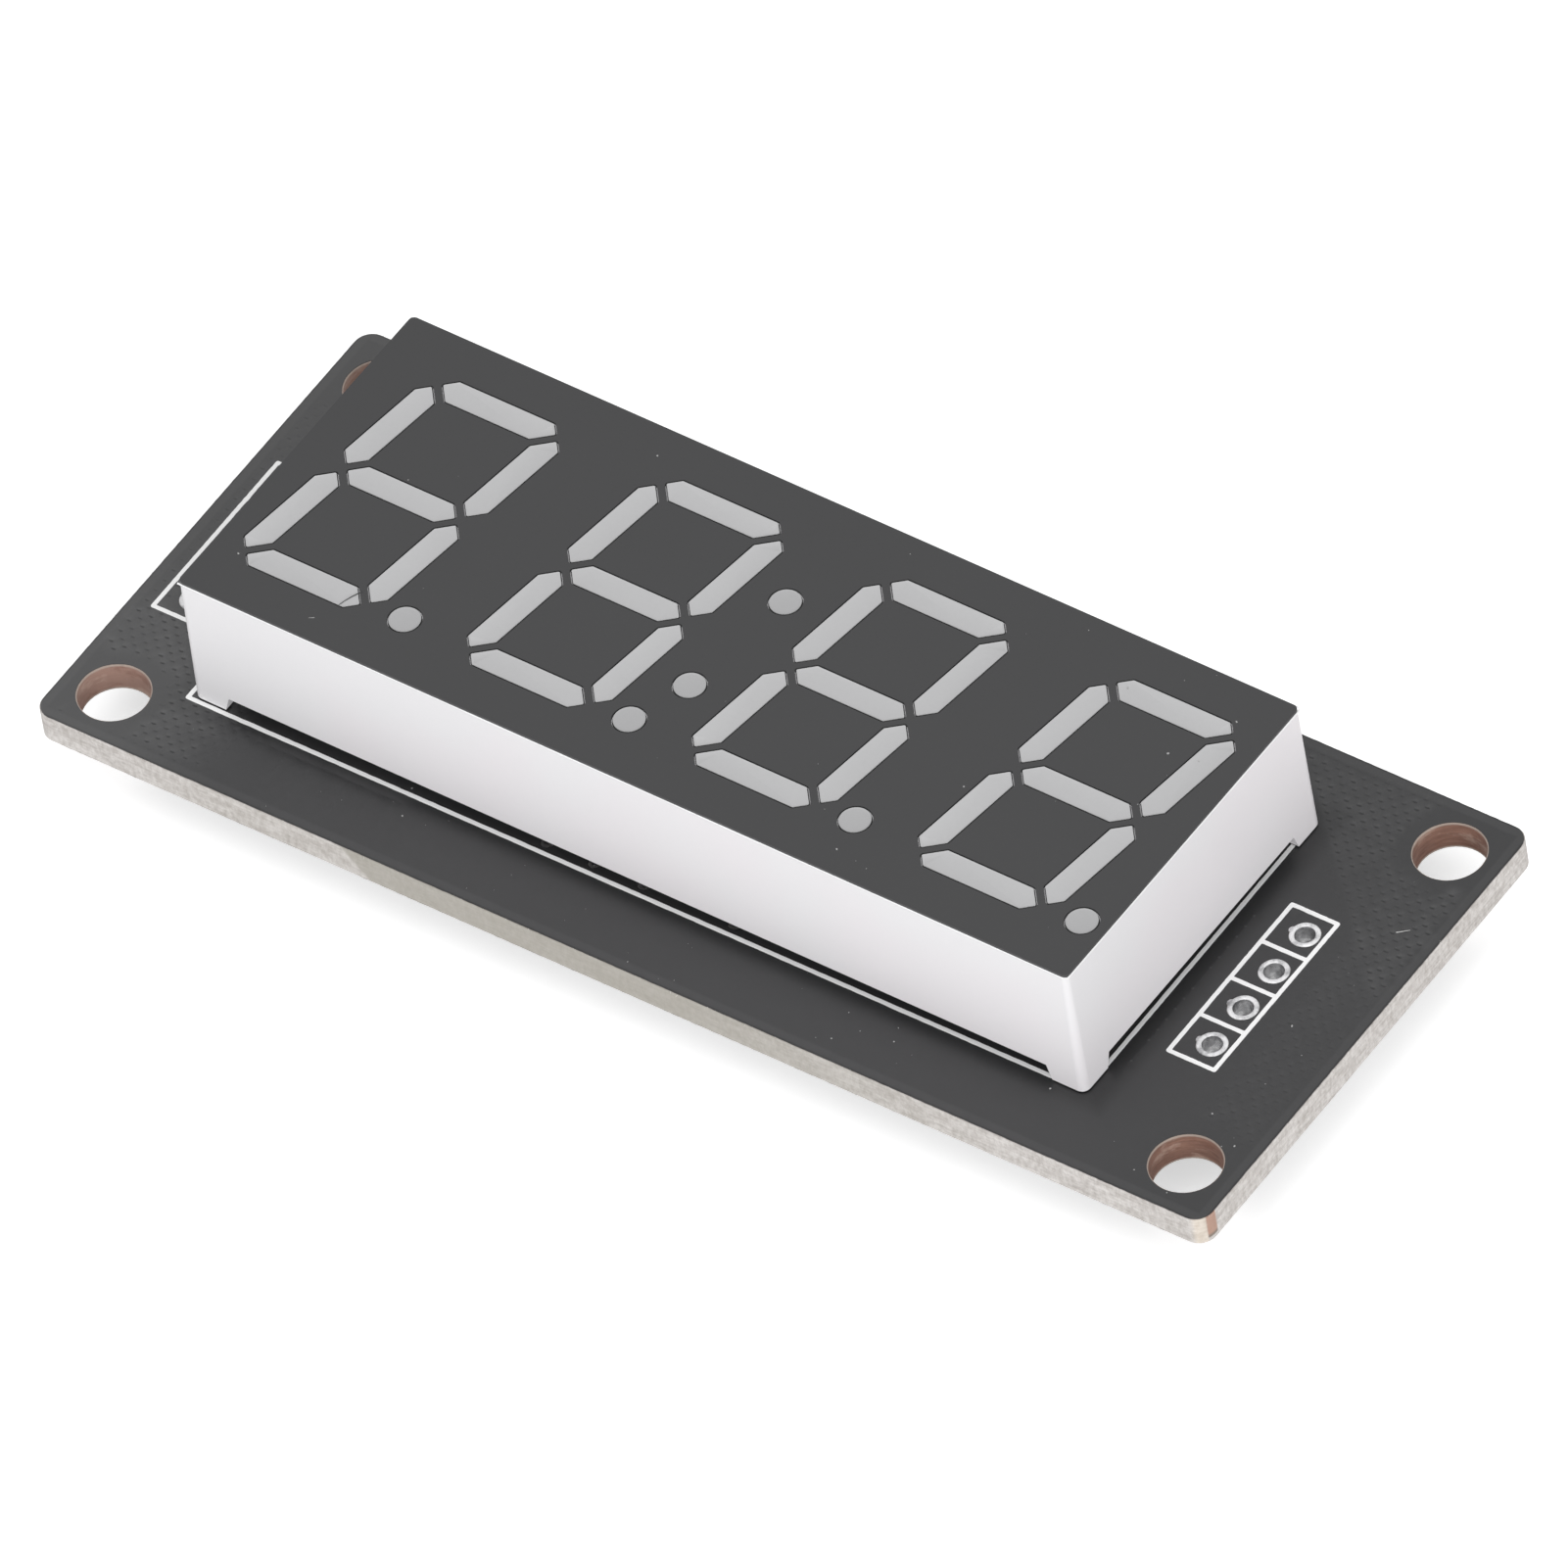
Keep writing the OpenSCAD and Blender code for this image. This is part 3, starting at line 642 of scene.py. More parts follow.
def solder_mask():
    """Black mask: darker in the weave's dimples (partly its own tone, partly painted shade), with painted
    highlights on the weave's knuckles, painted shade beside the case, paler at the left end, darker at the
    board's edge and with a painted highlight just inside it.
    """
    colours = finish()
    made, tree, shader = new_material("black_solder_mask", colours.mask, {"Specular IOR Level": 0.42})
    got = grain(tree, colours.mask, 0.36, (140.0, 0.1), (5200.0, 0.07), 0.12)
    x, y, z = object_axes(tree)
    lo, hi = (Vector(p) for p in display_corners(CASE_LO, CASE_HI)[::2])
    # Painted shade and painted reflection of the dark gap under the case, on the upper face beside the case
    beside = box_distance(x, y, lo, hi).fade(0, 0.35, 1.5, 0.45, 0)
    upper = z.math("GREATER_THAN", (BOARD_TOP + BOARD_UNDER) / 2)
    tone = (beside * upper).mix(got["Color"], srgb(24, 24, 25))
    # Paler towards the left end
    tone = x.fade(0, -22, -30, 0, 0.13).mix(tone, srgb(150, 150, 150))
    inside = box_distance(x, y, BOARD_LO, BOARD_HI) * -1.0
    # Painted highlight in a band just inside the board's edge, as on a rounded edge
    painted_edge_highlight = inside.fade(0, 0.10, 0.16) * inside.fade(0, 0.42, 0.6, 1, 0)
    tone = (painted_edge_highlight * 0.03).mix(tone, srgb(170, 170, 170))
    # Darker along the board's edge itself
    tone = inside.fade(0, 0.05, 0.12, 0.35, 0).mix(tone, srgb(28, 28, 28))
    # Darker in the weave's dimples, partly the mask's own tone over the glass and partly painted shade; paler
    # on the raised knuckles, as a painted highlight
    dip = add(tree, "ShaderNodeAttribute", out="Fac", attribute_name="dip")
    tone = dip.ramp(0.04, 0.8, 0, 0.52).mix(tone, srgb(22, 22, 23))
    tone = dip.ramp(-0.02, -0.16, 0, 0.04).mix(tone, srgb(190, 190, 190))
    dress(shader, dusted(tree, tone, 900.0, 0.012, 0.5), got, 0.0016 * MM)
    return made


def cast_resin(name, tone):
    """Pale resin, dark below the film's surface, where the gap round it shades it."""
    made, tree, shader = new_material(name, tone, {"Specular IOR Level": 0.4})
    got = grain(tree, tone, 0.34, (260.0, 0.07), (5200.0, 0.04), 0.08)
    below = object_axes(tree)[2].fade(FILM_HI.z, -0.06, -0.035, 0.9, 0)
    dress(shader, below.mix(got["Color"], srgb(40, 40, 40)), got, 0.0015 * MM)
    return made


def moulded_case():
    """White plastic with a faint warm tint in places, a few dark specks and painted shadow on the lowest part
    of its feet, where a shadowed gap lies under them.
    """
    colours = finish()
    made, tree, shader = new_material("white_moulded_case", colours.case, {"Specular IOR Level": 0.45})
    tint = object_point(tree, shift=(0.02, 0, 0)).noise(75.0, 2, 0.5).ramp(0.48, 0.68, 0, 0.35)
    base = tint.mix(colours.case, srgb(236, 229, 233))
    got = grain(tree, base, 0.42, (60.0, 0.025), (3600.0, 0.014), 0.1)
    specks = dusted(tree, got["Color"], 420.0, 0.035, 0.4, srgb(120, 118, 118))
    # Painted shadow: near black on the lowest part of the feet, for the gap between them and the board
    painted_gap_shadow = object_axes(tree)[2].fade(BOARD_TOP, 0.13, 0.16, 1, 0)
    dress(shader, painted_gap_shadow.mix(specks, srgb(8, 6, 8)), got, 0.0012 * MM)
    return made


def build_materials():
    """Every finish, by the name that the pieces use."""
    c = finish()
    return {
        "laminate": laminate(),
        "mask": solder_mask(),
        "ink": grained("white_printed_ink", c.ink, 0.6, (700.0, 0.05), (9000.0, 0.08), relief=0.003 * MM),
        "case": moulded_case(),
        # The lip is whiter than the case: a painted highlight on the case's top edge under the film
        "lip": grained("case_lip_painted_highlight", srgb(250, 250, 251), 0.3, (500.0, 0.04)),
        "film": grained("dark_face_film", c.film, 0.52, (120.0, 0.07), (7000.0, 0.05), 0.1, 0.001 * MM,
                        (700.0, 0.012, 0.6), {"Specular IOR Level": 0.35}),
        "resin": cast_resin("pale_segment_resin", c.resin),
        "dot": cast_resin("pale_dot_resin", c.dots),
        "back_resin": grained("cast_back_resin", srgb(226, 224, 214), 0.3, (260.0, 0.06)),
        "carrier": grained("paper_laminate", srgb(206, 196, 150), 0.5, (400.0, 0.08)),
        "crystal": grained("sawn_crystal", srgb(214, 196, 90), 0.3),
        "tin": tinned("hot_dipped_tin", c.tin, 1500.0, 0.22, 0.02 * MM),
        "bead": tinned("tin_bead", srgb(244, 244, 245), 1500.0, 0.3, 0.008 * MM, 0.15),
        "lead": tinned("dull_tin_plate", srgb(205, 205, 206), 2600.0, 0.26, 0.006 * MM),
        "solder": tinned("frozen_solder", srgb(196, 197, 200), 1900.0, 0.2, 0.02 * MM),
        "copper": tinned("raw_copper", srgb(205, 140, 105), 2600.0, 0.3, 0.004 * MM),
        "epoxy": grained("moulded_chip_epoxy", c.epoxy, 0.55, (300.0, 0.08), (11000.0, 0.25),
                         relief=0.005 * MM),
        "silicon": grained("silicon_die", srgb(92, 94, 104), 0.2),
        "ceramic": grained("tan_ceramic", srgb(178, 146, 112), 0.5, (900.0, 0.12), (12000.0, 0.12)),
        "alumina": grained("white_alumina", srgb(234, 234, 230), 0.45, fine=(12000.0, 0.06)),
        "glaze": grained("dark_glaze", srgb(30, 30, 33), 0.14, (1200.0, 0.2)),
        "dust": grained("pale_dust", srgb(176, 176, 175), 0.9),
        "hair": grained("dark_fibre", srgb(58, 58, 58), 0.6),
        "fibre": grained("glass_fibre", srgb(222, 220, 214), 0.6),
    }


MATERIALS = {}
CAD_FINISH = {
    "laminate": ["printed_circuit_board"],
    "tin": ["header_lands_right", "header_lands_left", "pin_lands", "via_barrels", "surface_lands"],
    "case": ["display_housing"],
    "film": ["face_film"],
    "resin": ["segment_guides"],
    "dot": ["dot_guides"],
    "back_resin": ["resin_backfill"],
    "carrier": ["led_carrier"],
    "crystal": ["led_dies"],
    "lead": ["display_pins", "driver_leads", "capacitor_ends", "resistor_ends"],
    "solder": ["pin_solder", "driver_solder", "passive_solder"],
    "epoxy": ["driver_case"],
    "copper": ["driver_paddle"],
    "silicon": ["driver_die"],
    "ceramic": ["capacitor_bodies"],
    "alumina": ["resistor_bodies"],
    "glaze": ["resistor_glaze"],
}


def material(key):
    if not MATERIALS:
        MATERIALS.update(build_materials())
    return MATERIALS[key]


# ---- Geometry Nodes ----


def geometry_tree(name, inputs):
    return new_tree("GeometryNodeTree", name, {"Geometry": "Geometry", **inputs, "Material": "Material"},
                    {"Geometry": "Geometry"})


def end_tree(tree, given, out, result):
    real = add(tree, "GeometryNodeRealizeInstances", {"Geometry": result})
    done = add(tree, "GeometryNodeSetMaterial", {"Geometry": real, "Material": given["Material"]})
    set_input(out["Geometry"], done)
    return tree


def grow(name, base, tree, slot, key, values):
    """Runs a tree on a base mesh and adds the result as a plain piece."""
    obj = new_object(name, base)
    modifier = obj.modifiers.new("build", "NODES")
    modifier.node_group = tree
    sockets = {s.name: s.identifier for s in tree.interface.items_tree
               if s.item_type == "SOCKET" and s.in_out == "INPUT"}
    for label, value in {**values, "Material": material(key)}.items():
        modifier[sockets[label]] = value
    made = plain_mesh(obj)
    obj.modifiers.remove(modifier)
    obj.data = made
    made.name = name
    bpy.data.meshes.remove(base)
    add_piece(obj, key)


def combine(tree, x, y, z):
    return add(tree, "ShaderNodeCombineXYZ", {"X": x, "Y": y, "Z": z})


def random_value(tree, seed):
    """A random value from 0 to 1 for each point."""
    return add(tree, "FunctionNodeRandomValue", {"Seed": seed}, "Value", data_type="FLOAT")


def random_turn(tree, seed, low, high):
    return add(tree, "FunctionNodeRandomValue", {0: low, 1: high, "Seed": seed}, data_type="FLOAT_VECTOR")


def local_noise(tree, scale, detail, seed):
    """A noise node at each point's own place, with a seed."""
    place = add(tree, "GeometryNodeInputPosition")
    return add_node(tree, "ShaderNodeTexNoise", {"Vector": place, "Scale": scale, "Detail": detail, "W": seed},
                    noise_dimensions="4D")


def trace_tree():
    """Paths swept with a low flat-topped section, their corners rounded."""
    tree, given, out = geometry_tree("raised_traces", {
        "Width": 0.3 * MM, "Height": 0.03 * MM, "Corner": 0.5 * MM})
    curve = add(tree, "GeometryNodeMeshToCurve", {"Mesh": given["Geometry"]})
    level = add(tree, "GeometryNodeSetCurveNormal", {"Curve": curve}, mode="Z_UP")
    bend = add(tree, "GeometryNodeFilletCurve",
               {"Curve": level, "Radius": given["Corner"], "Count": 4, "Limit Radius": True}, mode="POLY")
    section = add(tree, "GeometryNodeCurvePrimitiveQuadrilateral",
                  {"Height": given["Height"] * 2.0, "Bottom Width": given["Width"],
                   "Top Width": given["Width"] * 0.72, "Offset": 0.0}, mode="TRAPEZOID")
    sweep = add(tree, "GeometryNodeCurveToMesh", {"Curve": bend, "Profile Curve": section, "Fill Caps": True})
    return end_tree(tree, given, out, sweep)


def dust_tree():
    """Small flattened specks strewn over a surface."""
    tree, given, out = geometry_tree("strewn_dust", {
        "Count": 40, "Size Min": 0.02 * MM, "Size Max": 0.07 * MM, "Seed": 1})
    area = add(tree, "GeometryNodeAttributeStatistic",
               {"Geometry": given["Geometry"], "Attribute": add(tree, "GeometryNodeInputMeshFaceArea")},
               "Sum", domain="FACE")
    points = add(tree, "GeometryNodeDistributePointsOnFaces",
                 {"Mesh": given["Geometry"], "Density": given["Count"] / area, "Seed": given["Seed"]},
                 "Points", distribute_method="RANDOM")
    speck = add(tree, "GeometryNodeMeshIcoSphere", {"Radius": 1.0, "Subdivisions": 1}, "Mesh")
    skew = random_value(tree, given["Seed"]).math("POWER", 3.0)
    across = skew.ramp(0, 1, given["Size Min"], given["Size Max"], smooth=False)
    long = across * (random_value(tree, given["Seed"] + 7) + 0.8)
    turn = random_turn(tree, given["Seed"] + 3, (0, 0, 0), (0, 0, TURN))
    placed = add(tree, "GeometryNodeInstanceOnPoints",
                 {"Points": points, "Instance": speck, "Rotation": turn,
                  "Scale": combine(tree, long, across, across * 0.5)})
    return end_tree(tree, given, out, placed)


def ring_tree():
    """A rounded, slightly uneven tin ring on each point."""
    tree, given, out = geometry_tree("tinned_rings", {
        "Radius": 0.625 * MM, "Width": 0.25 * MM, "Rise": 0.05 * MM, "Unevenness": 0.03 * MM, "Seed": 5})
    path = add(tree, "GeometryNodeCurvePrimitiveCircle", {"Radius": given["Radius"], "Resolution": 48})
    section = add(tree, "GeometryNodeCurvePrimitiveCircle", {"Radius": 1.0, "Resolution": 12})
    size = combine(tree, given["Width"] * 0.5, given["Rise"], 1.0)
    flat = add(tree, "GeometryNodeTransform", {"Geometry": section, "Scale": size})
    ring = add(tree, "GeometryNodeCurveToMesh", {"Curve": path, "Profile Curve": flat})
    placed = add(tree, "GeometryNodeInstanceOnPoints", {"Points": given["Geometry"], "Instance": ring})
    real = add(tree, "GeometryNodeRealizeInstances", {"Geometry": placed})
    wobble = Value(local_noise(tree, 1300.0, 1.0, given["Seed"]).outputs["Color"])
    centred = add(tree, "ShaderNodeVectorMath", {0: wobble, 1: (0.5, 0.5, 0.5)}, operation="SUBTRACT")
    amount = combine(tree, given["Unevenness"], given["Unevenness"], given["Unevenness"] * 0.4)
    offset = add(tree, "ShaderNodeVectorMath", {0: centred, 1: amount}, operation="MULTIPLY")
    moved = add(tree, "GeometryNodeSetPosition", {"Geometry": real, "Offset": offset})
    return end_tree(tree, given, out, add(tree, "GeometryNodeSetShadeSmooth", {"Geometry": moved}))


def lip_tree():
    """An uneven bead along paths, as the plastic that stands up round an inlaid film."""
    tree, given, out = geometry_tree("film_lip", {
        "Thickness": 0.05 * MM, "Least": 0.3, "Patch Scale": 300.0, "Seed": 2})
    curve = add(tree, "GeometryNodeMeshToCurve", {"Mesh": given["Geometry"]})
    fine = add(tree, "GeometryNodeResampleCurve", {"Curve": curve, "Length": 0.25 * MM}, mode="LENGTH")
    patch = Value(local_noise(tree, given["Patch Scale"], 2.0, given["Seed"]).outputs["Fac"])
    width = patch.ramp(0.38, 0.62, given["Least"], 1.0)
    section = add(tree, "GeometryNodeCurvePrimitiveCircle", {"Radius": given["Thickness"], "Resolution": 8})
    bead = add(tree, "GeometryNodeCurveToMesh",
               {"Curve": fine, "Profile Curve": section, "Scale": width, "Fill Caps": True})
    return end_tree(tree, given, out, add(tree, "GeometryNodeSetShadeSmooth", {"Geometry": bead}))


def fibre_tree():
    """Short broken glass fibres standing along an edge."""
    tree, given, out = geometry_tree("edge_fibres", {
        "Spacing": 0.5 * MM, "Length": 0.12 * MM, "Thickness": 0.02 * MM, "Share": 0.35, "Seed": 3})
    curve = add(tree, "GeometryNodeMeshToCurve", {"Mesh": given["Geometry"]})
    points = add(tree, "GeometryNodeResampleCurve", {"Curve": curve, "Length": given["Spacing"]},
                 mode="LENGTH")
    fibre = add(tree, "GeometryNodeMeshCone",
                {"Vertices": 5, "Radius Top": 0.2, "Radius Bottom": 1.0, "Depth": 2.0})
    chosen = add(tree, "FunctionNodeCompare",
                 {"A": random_value(tree, given["Seed"]), "B": given["Share"]}, operation="LESS_THAN")
    turn = random_turn(tree, given["Seed"] + 9, (0.9, -0.7, 0), (2.2, 0.7, TURN))
    reach = given["Length"] * (random_value(tree, given["Seed"] + 4) + 0.25)
    placed = add(tree, "GeometryNodeInstanceOnPoints",
                 {"Points": points, "Selection": chosen, "Instance": fibre, "Rotation": turn,
                  "Scale": combine(tree, given["Thickness"], given["Thickness"], reach)})
    return end_tree(tree, given, out, placed)


# ---- Where things are ----


def sizes():
    return bpy.context.scene.module_sizes


def finish():
    return bpy.context.scene.module_finish


def header_row(side):
    """The centres of a header row's holes, their radius, their pitch and the row's middle in Y."""
    names = sorted(n for n in MOUNTS if n.startswith("header_" + side))
    holes = [Vector(MOUNTS[n]["pos_m"]) for n in names]
    first, last = holes[0].y, holes[-1].y
    return holes, MOUNTS[names[0]]["dims"]["r_mm"] * MM, (last - first) / (len(holes) - 1), (first + last) / 2


def board_holes():
    """Centres and radius of the four mounting holes."""
    dims = MOUNTS["mounting_holes"]["dims"]
    hx, hy = dims["spacing_x_mm"] * MM / 2, dims["spacing_y_mm"] * MM / 2
    return [(sx * hx, sy * hy) for sx in (-1, 1) for sy in (-1, 1)], dims["hole_r_mm"] * MM


def solids_of(node):
    """The middle and the half widths of each separate solid of a CAD node, in X and Y."""
    bm = cad_copy(node)
    left, found = set(bm.verts), []
    while left:
        stack, island = [left.pop()], []
        while stack:
            vert = stack.pop()
            island.append(vert.co.copy())
            for edge in vert.link_edges:
                other = edge.other_vert(vert)
                if other in left:
                    left.remove(other)
                    stack.append(other)
        spans = [(min(values), max(values)) for values in ([p.x for p in island], [p.y for p in island])]
        found.append((tuple((lo + hi) / 2 for lo, hi in spans), tuple((hi - lo) / 2 for lo, hi in spans)))
    bm.free()
    return sorted(found)


def display_turn():
    """How far the display is turned on the board, from one row of its pins."""
    row = [c for c, _ in solids_of("display_pins") if c[1] < CASE_MID.y]
    return math.atan2(row[-1][1] - row[0][1], row[-1][0] - row[0][0])


def display_corners(lo, hi, inset=0.0):
    """The corners of the display's turned rectangle, from the level box round it."""
    turn = display_turn()
    c, s = math.cos(turn), math.sin(turn)
    wide, deep = hi.x - lo.x, hi.y - lo.y
    hx = (wide * c - deep * abs(s)) / (c * c - s * s) / 2 - inset
    hy = (deep * c - wide * abs(s)) / (c * c - s * s) / 2 - inset
    mid = (lo + hi) / 2
    return [(mid.x + x * c - y * s, mid.y + x * s + y * c) for x, y in corners(-hx, -hy, hx, hy)]


def ring_opening(x, y, r, tail, count=40):
    """A round opening, with the bulge that a teardrop land needs. tail is (distance, radius) towards -X,
    or None."""
    points = []
    for i in range(count):
        a = TURN * i / count
        reach = r
        if tail:
            along, across = -tail[0] * math.cos(a), tail[0] * math.sin(a)
            if along > 0 and abs(across) < tail[1]:
                reach = max(reach, along + math.sqrt(tail[1] ** 2 - across ** 2))
        points.append((x + reach * math.cos(a), y + reach * math.sin(a)))
    return points


def mask_openings(upper, relief):
    """The mask's openings on one face, round the mounting holes, the rings and the lands."""
    centres, hole_r = board_holes()
    openings = [wander(circle(x, y, hole_r + 0.05 * MM, 56), 0.2 * MM, 0.012 * MM, 3 + i)
                for i, (x, y) in enumerate(centres)]
    for node in ("header_lands_left", "header_lands_right", "pin_lands", "via_barrels"):
        for (x, y), (hx, hy) in solids_of(node):
            tail = None
            if hx - hy > 0.01 * MM:
                tail = (2 * hx - 2 * hy + hy - TAIL_R, TAIL_R + relief) if upper else None
                x += hx - hy
            openings.append(ring_opening(x, y, hy + relief, tail))
    if not upper:
        for (x, y), (hx, hy) in solids_of("surface_lands"):
            hx, hy = hx + relief, hy + relief
            openings.append(corners(x - hx, y - hy, x + hx, y + hy))
    return openings


def rise(value, start, run):
    """0 up to a start, then a straight rise to 1 over a run."""
    return min(1.0, max(0.0, (value - start) / run))


def weave_strength(x, y, upper):
    """How deep the weave shows: it is smooth over copper, near a hole and along the board's edges."""
    centres, r = board_holes()
    near_hole = (min(math.dist((x, y), c) for c in centres) - r) / MM
    near_edge = min(BOARD_HI.x - abs(x), BOARD_HI.y - abs(y)) / MM
    fade = rise(near_hole, 0.5, 0.5) * rise(near_edge, 0.4, 0.4)
    cloud = 0.5 + 0.5 * noise.noise(Vector((x / (5 * MM), y / (5 * MM), 2.0 if upper else 7.0)))
    if not upper:
        return fade * (0.35 + 0.4 * cloud)

    # Where the upper face has no copper under its mask, in millimetres
    x, y = x / MM, y / MM
    left = rise(-22.6 - x, 0, 2.6) * (1 - 0.45 * rise(y, -6, 4))
    back_right_corner = 0.95 * rise(x + y, 33.0, 0.5)
    right = 0.58 * rise(x, 28.6, 0.8) * rise(y, -10, 2)
    front_left_strip = 0.3 * rise(-12 - x, 0, 3) * rise(y, -10.4, 0.1) * rise(-9.7 - y, 0, 0.1)
    back = 0.5 * rise(y, 9.9, 0.6)
    return fade * max(left, back_right_corner, right, front_left_strip, back) * (0.7 + 0.45 * cloud)


def raised_row(pitch):
    """Low knuckles of the weave in a row beside the case, where the copper under the mask ends."""
    height, radius, missing = 0.012 * MM, 0.1 * MM, (-4, 3)
    x = CASE_HI.x + 0.5 * MM
    points = []
    for k in range(-5, 10):
        if k not in missing:
            y = CASE_MID.y - 3.4 * MM + k * pitch
            points += [(x, y, height), *raised(circle(x, y, radius, 6), 0.0)]
    return points


def weave_dimples(upper, openings):
    """Points of the mask over the glass weave: a dimple at every second crossing of the threads."""
    s = sizes()
    rng = random.Random(11 if upper else 12)
    pitch, row = s.weave_pitch, s.weave_pitch / 2
    margin, pad, shift_mm, least = 0.45 * MM, 0.2 * MM, 0.03, 0.12
    half_long, half_wide = 0.17 * MM, 0.08 * MM
    # Each ring of a dimple, as shares of its size and of its depth
    rings = ((0.55, 0.7), (1.0, -0.12)) if upper else ((1.0, -0.12),)
    points = raised_row(pitch) if upper else []
    boxes = [(min(p[0] for p in o), min(p[1] for p in o), max(p[0] for p in o), max(p[1] for p in o))
             for o in openings]
    rows, count = int((BOARD_HI.y - margin) / row), int((BOARD_HI.x - margin) / pitch)
    for j in range(-rows, rows + 1):
        for i in range(-count, count + 1):
            x = i * pitch + (row if j % 2 else 0) + rng.uniform(-1, 1) * shift_mm * MM
            y = j * row + rng.uniform(-1, 1) * shift_mm * MM
            deep = weave_strength(x, y, upper) * rng.uniform(0.6, 1.1)
            if deep < least or any(b[0] - pad < x < b[2] + pad and b[1] - pad < y < b[3] + pad for b in boxes):
                continue
            drop = (-1 if upper else 1) * deep * s.dimple_depth
            points.append((x, y, drop))
            for share, depth in rings:
                for a in (math.pi / 4 * k for k in range(8)):
                    points.append((x + half_long * share * math.cos(a), y + half_wide * share * math.sin(a),
                                   drop * depth))
    return points


def store_dips(mesh, high, low, depth):
    """Keeps how deep each point of a mask lies below its level as an attribute, for the finish."""
    dips = mesh.attributes.new("dip", "FLOAT", "POINT")
    for vert, dip in zip(mesh.vertices, dips.data):
        under = (high - vert.co.z) * (1 if high > low else -1)
        dip.value = under / depth if abs(vert.co.z - low) > MERGE else 0.0


# ---- Operators: one for each group of pieces ----


class DISPLAY_OT_cad_finishes(bpy.types.Operator):
    """Give every CAD piece its own finish"""

    bl_idname = "display_module.cad_finishes"
    bl_label = "Finish the CAD pieces"

    def execute(self, context):
        for key, nodes in CAD_FINISH.items():
            for node in nodes:
                NODES[node].data.materials.clear()
                NODES[node].data.materials.append(material(key))
        return {"FINISHED"}


class DISPLAY_OT_solder_mask(bpy.types.Operator):
    """Lay the black solder mask on both faces of the board, open at the lands and dimpled by the weave"""

    bl_idname = "display_module.solder_mask"
    bl_label = "Solder mask"

    def execute(self, context):
        s = sizes()
        for name, low, high, seed in (("upper", BOARD_TOP, BOARD_TOP + s.mask_t, 22),
                                      ("lower", BOARD_UNDER, BOARD_UNDER - s.mask_t, 21)):
            upper = name == "upper"
            openings = mask_openings(upper, s.mask_relief)
            outline = wander(board_outline(s.mask_inset), 0.16 * MM, 0.018 * MM, seed)
            bm = bmesh.new()
            plate(bm, outline, openings, low, high, weave_dimples(upper, openings))
            obj = mesh_object("solder_mask_" + name, bm)
            store_dips(obj.data, high, low, s.dimple_depth)
            add_piece(obj, "mask")
        return {"FINISHED"}


class DISPLAY_OT_printed_lines(bpy.types.Operator):
    """Print the white lines: a ladder round each header row, the display's outline and the parts' outlines"""

    bl_idname = "display_module.printed_lines"
    bl_label = "Printed lines"

    def execute(self, context):
        s = sizes()
        low, line = BOARD_TOP + s.mask_t, s.silk_line
        high = low + s.silk_t
        for side, shift in (("right", -0.3 * MM), ("left", -0.23 * MM)):
            holes, _, pitch, middle = header_row(side)
            x = holes[0].x + shift
            outline = frame_rect(x, middle, pitch, pitch * len(holes), line)[0]
            cells = [frame_rect(x, hole.y, pitch, pitch, line)[1] for hole in holes]
            self.print("header_print_" + side, [(outline, cells, 0.14 * MM, 0.014 * MM, 31)], low, high)

        outline, hole = frame_rect(CASE_MID.x - 0.29 * MM, CASE_MID.y - 0.16 * MM, 50.4 * MM, 18.8 * MM, line)
        self.print("display_outline_print", [(outline, [hole], 0.2 * MM, 0.014 * MM, 41)], low, high)

        # Each frame on the underside: its middle, length, width and seed
        boxes = [(CHIP_MID.x, CHIP_MID.y, CHIP_HI.x - CHIP_LO.x + 0.5 * MM,
                  CHIP_HI.y - CHIP_LO.y - 1.2 * MM, 51)]
        for node in ("capacitor_bodies", "resistor_bodies"):
            boxes += [(x, y, 2 * hx + 0.7 * MM, 2 * hy + 1.7 * MM, 51) for (x, y), (hx, hy) in solids_of(node)]
        for side in SIDES:
            holes, _, pitch, middle = header_row(side)
            boxes.append((holes[0].x, middle, pitch, pitch * len(holes), 55))
        rects = [(*frame_rect(x, y, wide, deep, 0.15 * MM), seed) for x, y, wide, deep, seed in boxes]
        # The ink on the underside lies over the raised traces
        low = BOARD_UNDER - s.mask_t
        self.print("underside_print", [(outline, [hole], 0.2 * MM, 0.01 * MM, seed)
                                       for outline, hole, seed in rects], low, low - s.trace_h - s.silk_t)
        return {"FINISHED"}

    @staticmethod
    def print(name, plates, low, high):
        bm = bmesh.new()
        for outline, holes, step, amount, seed in plates:
            ink(bm, outline, holes, step, amount, seed, low, high)
        add_piece(mesh_object(name, bm), "ink")


